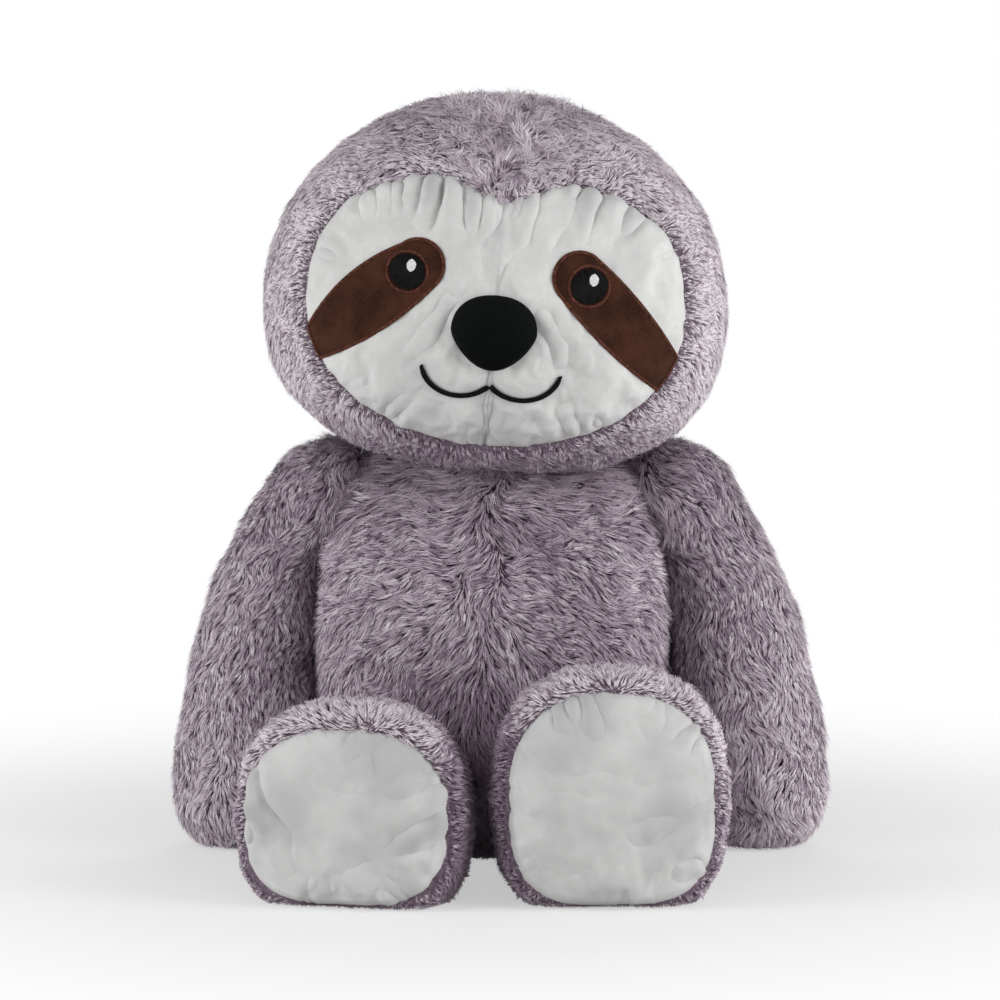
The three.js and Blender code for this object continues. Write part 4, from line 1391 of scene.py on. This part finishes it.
def rim_gathers(outline, count, seed, lengths, where=everywhere):
    """Short folds from the seam inwards, as a gathered edge has."""
    dice = np.random.default_rng(seed)
    middle = outline.mean(axis=0)
    folds = []
    while len(folds) < count:
        start = outline[dice.integers(len(outline))]
        if not where(start):
            continue
        inward = (middle - start) / np.linalg.norm(middle - start)
        end = start + inward * dice.uniform(*lengths) * MM + dice.normal(0, 2 * MM, 2)
        folds.append((start / MM, end / MM, dice.uniform(2.4, 3.8), dice.uniform(0.3, 0.9)))
    return folds


def loose_face():
    flat, faces, rim = filled_outline(face_outline(0.995), 2.3 * MM, seam=True)
    held = rim.copy()
    for sign in SIGNS.values():
        held |= inside_outline(flat, patch_outline(sign))
        held |= nearest_gap(flat, mouth_line(sign)) < 3 * MM
    held |= np.hypot(flat[:, 0] / NOSE_HALF[0], flat[:, 1] / NOSE_HALF[1]) < 0.9 * MM
    points, _ = on_face(flat[:, 0], flat[:, 1])
    return loose_cloth("face_cloth_loose", points, faces, rim, held, FORWARD, FACE_GROWTH)


def sole_outline(name):
    powers = 2 / SOLE_SQUARE_ABOVE, 2 / SOLE_SQUARE_BELOW
    return np.stack(rounded_outline(240, *sole_halves(name), *powers), axis=1)


def loose_sole(name):
    flat, faces, rim = filled_outline(sole_outline(name), 2.2 * MM)
    share = sole_edge_share(*flat.T, FOOT_HALF_WIDTH, LEGS[name]["half_height"])
    end = np.clip(1 - share**SOLE_FULLNESS, 0, 1) ** (1 / SOLE_FULLNESS)
    depth = -SOLE_ROUND * (1 - end) - SOLE_SET_BACK
    turn = np.array(sole_frame(name))
    points = np.stack([flat[:, 0], depth, flat[:, 1]], axis=1) @ turn[:3, :3].T + turn[:3, 3]
    return loose_cloth(f"sole_{name}_loose", points, faces, rim, rim, turn[:3, 1], SOLE_GROWTH)


loose = {"face": loose_face(), "left": loose_sole("left"), "right": loose_sole("right")}
settle(loose.values())


def sew_face(made):
    """Draws the face's cloth in along its middle seam, its folds and its gathered edge, and paints shade into
    the folds and along the seam.
    """
    points = points_of(made.data)
    own = in_head(points)
    flat = np.stack([own[:, 0], own[:, 2] + NOSE_BELOW], axis=1)
    below_nose = flat[:, 1] < 0
    fade = smooth(flat[:, 1], 70 * MM, 20 * MM)
    seam = np.exp(-((flat[:, 0] / SEAM_WIDTH) ** 2))
    groove = np.where(below_nose, CHIN_SEAM, BROW_SEAM * fade) * seam
    gathers = rim_gathers(face_outline(1.02), 9, 11, (14, 26), lambda place: place[1] > 30 * MM)
    gathers += rim_gathers(face_outline(1.02), 14, 12, (8, 16), lambda place: place[1] < 10 * MM)
    calm = nearest_gap(flat, np.vstack([patch_outline(1), patch_outline(-1)]))
    for sign in SIGNS.values():
        calm[inside_outline(flat, patch_outline(sign))] = 0
        calm = np.minimum(calm, nearest_gap(flat, mouth_line(sign)))
    waves = 0.45 * MM * drift(points, 13 * MM, 41) + 0.18 * MM * drift(points, 6 * MM, 42)
    rim = nearest_gap(flat, face_outline(0.995))
    depth = folded(flat, FACE_FOLDS + gathers, FOLD_DEPTH)
    depth *= smooth(calm, 0, 5 * MM) * smooth(rim, -4 * MM, 5 * MM)
    # The seam shows as a darker line: painted shade in its groove.
    line = seam * np.where(below_nose, 1.4, 0.8 * fade)
    add_numbers(made.data, "crease", np.maximum(crease_shade_share(depth), line))
    groove += depth + waves * smooth(calm, 0, 5 * MM)
    set_points(made.data, points - normals_of(made.data) * groove[:, None])


def sew_sole(made, name):
    """Draws a sole's cloth in along its folds and its gathered edge, and paints shade into the folds."""
    points = points_of(made.data)
    own = in_sole(points, name)
    flat = own[:, [0, 2]]
    folds = SOLE_FOLDS[name] + rim_gathers(sole_outline(name) * 1.04, 16, 52 + len(name), (14, 24))
    waves = 1.0 * MM * drift(points, 17 * MM, 43) + 0.2 * MM * drift(points, 6 * MM, 44)
    away = sole_edge_share(*flat.T, *sole_halves(name))
    depth = folded(flat, folds, SOLE_FOLD_DEPTH) * smooth(away, 1.04, 0.93)
    add_numbers(made.data, "crease", crease_shade_share(depth))
    depth += waves * smooth(away, 1.0, 0.8)
    tuck = np.array(sole_frame(name))[:3, 1] * (SOLE_TUCK * smooth(away, 0.9, 1.0) ** 1.5)[:, None]
    set_points(made.data, points - normals_of(made.data) * depth[:, None] - tuck)


face_cloth = thickened(loose["face"], "face_cloth", CLOTH_WALL)
sew_face(face_cloth)
dress(face_cloth, COTTON)
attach(face_cloth, "head")
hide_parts("face_left", "face_right")
for name in SIGNS:
    sole = thickened(loose[name], f"sole_cloth_{name}", CLOTH_WALL)
    sew_sole(sole, name)
    points = points_of(sole.data)
    points[:, 2] = np.maximum(points[:, 2], CLOTH_BOTTOM)
    set_points(sole.data, points)
    dress(sole, SHADED_SOLE_COTTON)
    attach(sole, f"leg_{name}")
    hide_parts(f"foot_sole_{name}")


def flat_applique(name, outline, spacing, rise, finish):
    """A piece of cloth or a disc sewn flat on the face: it rises within a short way of its edge."""
    flat, faces, _ = filled_outline(outline, spacing)
    gap = nearest_gap(flat, outline)
    lift = 0.1 * MM + rise * (1 - np.exp(-gap / (0.7 * MM)))
    points, _ = on_face(flat[:, 0], flat[:, 1], lift)
    sheet = new_object(name + "_sheet", panel_mesh(name + "_sheet", points, faces, FORWARD))
    made = thickened(sheet, name, 0.6 * MM, relax=0)
    dress(made, finish)
    return made


def circle(x, z, radius, count=60):
    angle = np.linspace(0, 2 * np.pi, count, endpoint=False)
    return np.stack([x + radius * np.cos(angle), z + radius * np.sin(angle)], axis=1) * MM


def filled_disc_rows(name, x, z, half_width, half_length, lift, finish, tilt, seed):
    """Satin stitches that fill a disc or an oval, laid across its tilted middle line."""
    along = np.linspace(-0.97, 0.97, 40)
    way = np.array([math.cos(tilt), math.sin(tilt)])
    line = (np.array([x, z]) + half_length * along[:, None] * way) * MM
    reach = 2 * half_width * MM * np.sqrt(1 - along**2)
    sizes = {"Spacing": 0.42 * MM, "Thickness": 0.75 * MM, "Seed": seed}
    return stitched_row(name, line, lift, reach, finish, **sizes)


def add_eye(name, sign):
    edge = {"closed": True, "Slant": 0.15}
    patch = flat_applique(f"eye_patch_cloth_{name}", patch_outline(sign), 2.0 * MM, PATCH_RISE, VELOUR)
    border = patch_outline(sign, inset=0.9)
    edging = stitched_row("edging", border, 0.75, EDGING_WIDTH, BROWN_THREAD, **edge)
    x, z, radius = PUPIL
    x *= sign
    ring = circle(x, z, radius + 1.0)
    rim = stitched_row("rim", ring, 1.0, RIM_WIDTH, BROWN_THREAD, Seed=2, **edge)
    velour = joined(f"eye_patch_cloth_{name}", [patch, edging, rim])
    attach(velour, "head")
    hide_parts(f"eye_patch_{name}")

    disc = flat_applique("disc", circle(x, z, radius), 1.2 * MM, PUPIL_RISE, BLACK_THREAD)
    rows = filled_disc_rows("rows", x, z, radius, radius, 1.25, BLACK_THREAD, sign * 0.5, 3)
    pupil = joined(f"pupil_stitched_{name}", [disc, rows])
    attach(pupil, "head")
    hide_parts(f"pupil_{name}")

    dx, dz, half_width, half_length = GLINT
    place = (x + dx, z + dz, half_width, half_length)
    glint = filled_disc_rows(f"glint_stitched_{name}", *place, 1.7, WHITE_THREAD, 1.5, 4)
    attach(glint, "head")
    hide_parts(f"eye_glint_{name}")

    line = mouth_line(sign)
    reach = MOUTH_WIDTH * (1 - 0.35 * smooth(np.linspace(0, 1, len(line)), 0.9, 1.0))
    sizes = {"Spacing": 0.45 * MM, "Thickness": 0.9 * MM, "Slant": 0.5}
    smile = stitched_row(f"mouth_stitched_{name}", line, 0.9, reach, BLACK_THREAD, **sizes)
    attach(smile, "head")
    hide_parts(f"mouth_{name}")


for name, sign in SIGNS.items():
    add_eye(name, sign)
discard(THREAD)


def nose_outline():
    """A rounded triangle: broad at the top, narrower at the bottom."""
    x, z = rounded_outline(200, *NOSE_HALF, 0.88, 0.95)
    low = np.maximum(0, -z / NOSE_HALF[1])
    return np.stack([x * (1 - NOSE_TAPER * low), z], axis=1) * MM


def add_nose():
    flat, faces, _ = filled_outline(nose_outline(), 1.4 * MM)
    x, z = (flat / (np.array(NOSE_HALF) * MM)).T
    share = np.hypot(x / (1 - NOSE_TAPER * np.maximum(0, -z)), z)
    lift = NOSE_PROUD * MM * np.clip(1 - share**NOSE_FULLNESS, 0, 1) ** (1 / NOSE_DOME) + 0.3 * MM
    points, _ = on_face(flat[:, 0], flat[:, 1], lift)
    sheet = new_object("nose_sheet", panel_mesh("nose_sheet", points, faces, FORWARD))
    nose = thickened(sheet, "nose_cloth", 1.0 * MM, relax=3)
    dress(nose, BLACK_CLOTH)
    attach(nose, "head")
    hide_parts("nose_cover")


add_nose()


# Finishes of the filling, which stays as the CAD model has it


def woven_bag_finish():
    """The bead bags' plain cotton: a weave of warp and weft with slubs."""
    finish = Finish("bead_bag_cotton", roughness=0.9, specular=0.2)
    slub = finish.noise(500.0, 2.0)
    finish.feed("Base Color", finish.mix(slub.between(0.3, 0.7), (0.60, 0.57, 0.49), (0.74, 0.71, 0.62)))
    finish.bump(finish.weave(6000) * 0.4 + slub, 0.4, 0.3 * MM)
    return finish.material


def stuffing_finish():
    """Loose polyester fibre: pale clumps with finer fibre on them."""
    finish = Finish("loose_stuffing", roughness=0.95, sheen=0.2, specular=0.2)
    clump = finish.noise(90.0, 4.0)
    finish.feed("Base Color", finish.mix(clump.between(0.3, 0.7), (0.74, 0.73, 0.69), (0.88, 0.87, 0.83)))
    finish.bump(clump + finish.noise(1100.0, 2.0) * 0.3, 0.6, 1 * MM)
    return finish.material


def bead_finish():
    """Small glass beads, heaped: round cells, each pale at its middle and darker at its edge, as painted
    light and shade of a round bead.
    """
    finish = Finish("glass_bead_heap", roughness=0.18, specular=0.5)
    bead = finish.add("ShaderNodeTexVoronoi", {}, {"Vector": finish.place(), "Scale": 900.0})[0]
    finish.feed("Base Color", finish.mix(bead.between(0.1, 0.6), (0.72, 0.78, 0.82), (0.40, 0.46, 0.50)))
    finish.bump(1 - bead, 0.8, 0.4 * MM)
    return finish.material


STUFFING = stuffing_finish()
FILLING_FINISHES = {
    "stuffing": STUFFING,
    "pad": STUFFING,
    "bag": woven_bag_finish(),
    "beads": bead_finish(),
    "thread": thread_finish("grey_thread", (0.14, 0.11, 0.13), (0.25, 0.20, 0.24), 0.6),
}
for name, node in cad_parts.items():
    for word, finish in FILLING_FINISHES.items():
        if word in name.split("_"):
            for slot in node.material_slots:
                slot.material = finish


# Stage, light and camera


def seen_directly(bench):
    """1 for rays from the camera, and for those that a shiny or clear surface sends on."""
    rays = bench.add("ShaderNodeLightPath")
    seen = bench.maths("MAXIMUM", rays["Is Camera Ray"], rays["Is Glossy Ray"])
    return bench.maths("MAXIMUM", seen, rays["Is Transmission Ray"])


FLOOR_SIZE = 12.0
FLOOR_GREY = (0.88, 0.88, 0.88, 1)
WHITE = (1, 1, 1, 1)
SHADOW_FADE = (0.14, 0.55)
ROOM_LIGHT = 0.2


def add_stage():
    """A pale floor that keeps the toy's shadow and turns white away from it, under a white room."""
    half = FLOOR_SIZE / 2
    corners = [(-half, -half, 0), (half, -half, 0), (half, half, 0), (-half, half, 0)]
    mesh = bpy.data.meshes.new("floor")
    mesh.from_pydata(corners, [], [(0, 1, 2, 3)])
    floor = new_object("floor", mesh)
    finish = Finish("pale_floor", roughness=0.95, specular=0.0)
    finish.shader.node.inputs["Base Color"].default_value = FLOOR_GREY
    white = finish.add("ShaderNodeEmission", {}, {"Color": WHITE, "Strength": 1.0})
    share = seen_directly(finish) * finish.length(finish.place()).between(*SHADOW_FADE, 0.5, 1.0)
    both = finish.add("ShaderNodeMixShader", {}, {0: share, 1: finish.shader[0], 2: white[0]})
    finish.tree.links.new(both[0].socket, finish.output.node.inputs["Surface"])
    mesh.materials.append(finish.material)

    world = bpy.data.worlds.new("white_room")
    bpy.context.scene.world = world
    world.use_nodes = True
    world.node_tree.nodes.clear()
    bench = Bench(world.node_tree)
    light = bench.add("ShaderNodeBackground", {}, {"Color": WHITE, "Strength": ROOM_LIGHT})
    white = bench.add("ShaderNodeBackground", {}, {"Color": WHITE, "Strength": 1.0})
    both = bench.add("ShaderNodeMixShader", {}, {0: seen_directly(bench), 1: light[0], 2: white[0]})
    bench.add("ShaderNodeOutputWorld", {}, {"Surface": both[0]})


def add_lamp(name, place, size, power):
    lamp = bpy.data.lights.new(name, "AREA")
    lamp.shape = "RECTANGLE"
    lamp.size, lamp.size_y = size
    lamp.energy = power
    made = new_object(name, lamp)
    made.location = place
    made.rotation_mode = "QUATERNION"
    made.rotation_quaternion = (Vector(place) - AIM).to_track_quat("Z", "Y")


AIM = Vector((0, 0, 0.181))
LAMPS = [
    ("left_lamp", (-1.6, -0.8, 0.7), (0.8, 1.1), 18),
    ("right_lamp", (1.6, -0.8, 0.7), (0.8, 1.1), 21),
    ("front_lamp", (0.1, -1.7, 1.6), (1.4, 1.2), 2),
    ("back_lamp", (0.2, 1.7, 1.3), (1.6, 1.0), 11),
]
add_stage()
for lamp in LAMPS:
    add_lamp(*lamp)

# The camera looks down a little at the toy's middle, where the picture is this wide
ELEVATION = math.radians(6)
DISTANCE = 2.35
PICTURE_WIDTH = 0.533
FILM_WIDTH = 36
camera = new_object("camera", bpy.data.cameras.new("camera"))
back = Vector((0, -math.cos(ELEVATION), math.sin(ELEVATION)))
camera.location = AIM + back * DISTANCE
camera.rotation_mode = "QUATERNION"
camera.rotation_quaternion = back.to_track_quat("Z", "Y")
camera.data.lens = FILM_WIDTH * DISTANCE / PICTURE_WIDTH
camera.data.clip_end = 50
bpy.context.scene.camera = camera
bpy.context.scene.view_settings.view_transform = "Standard"
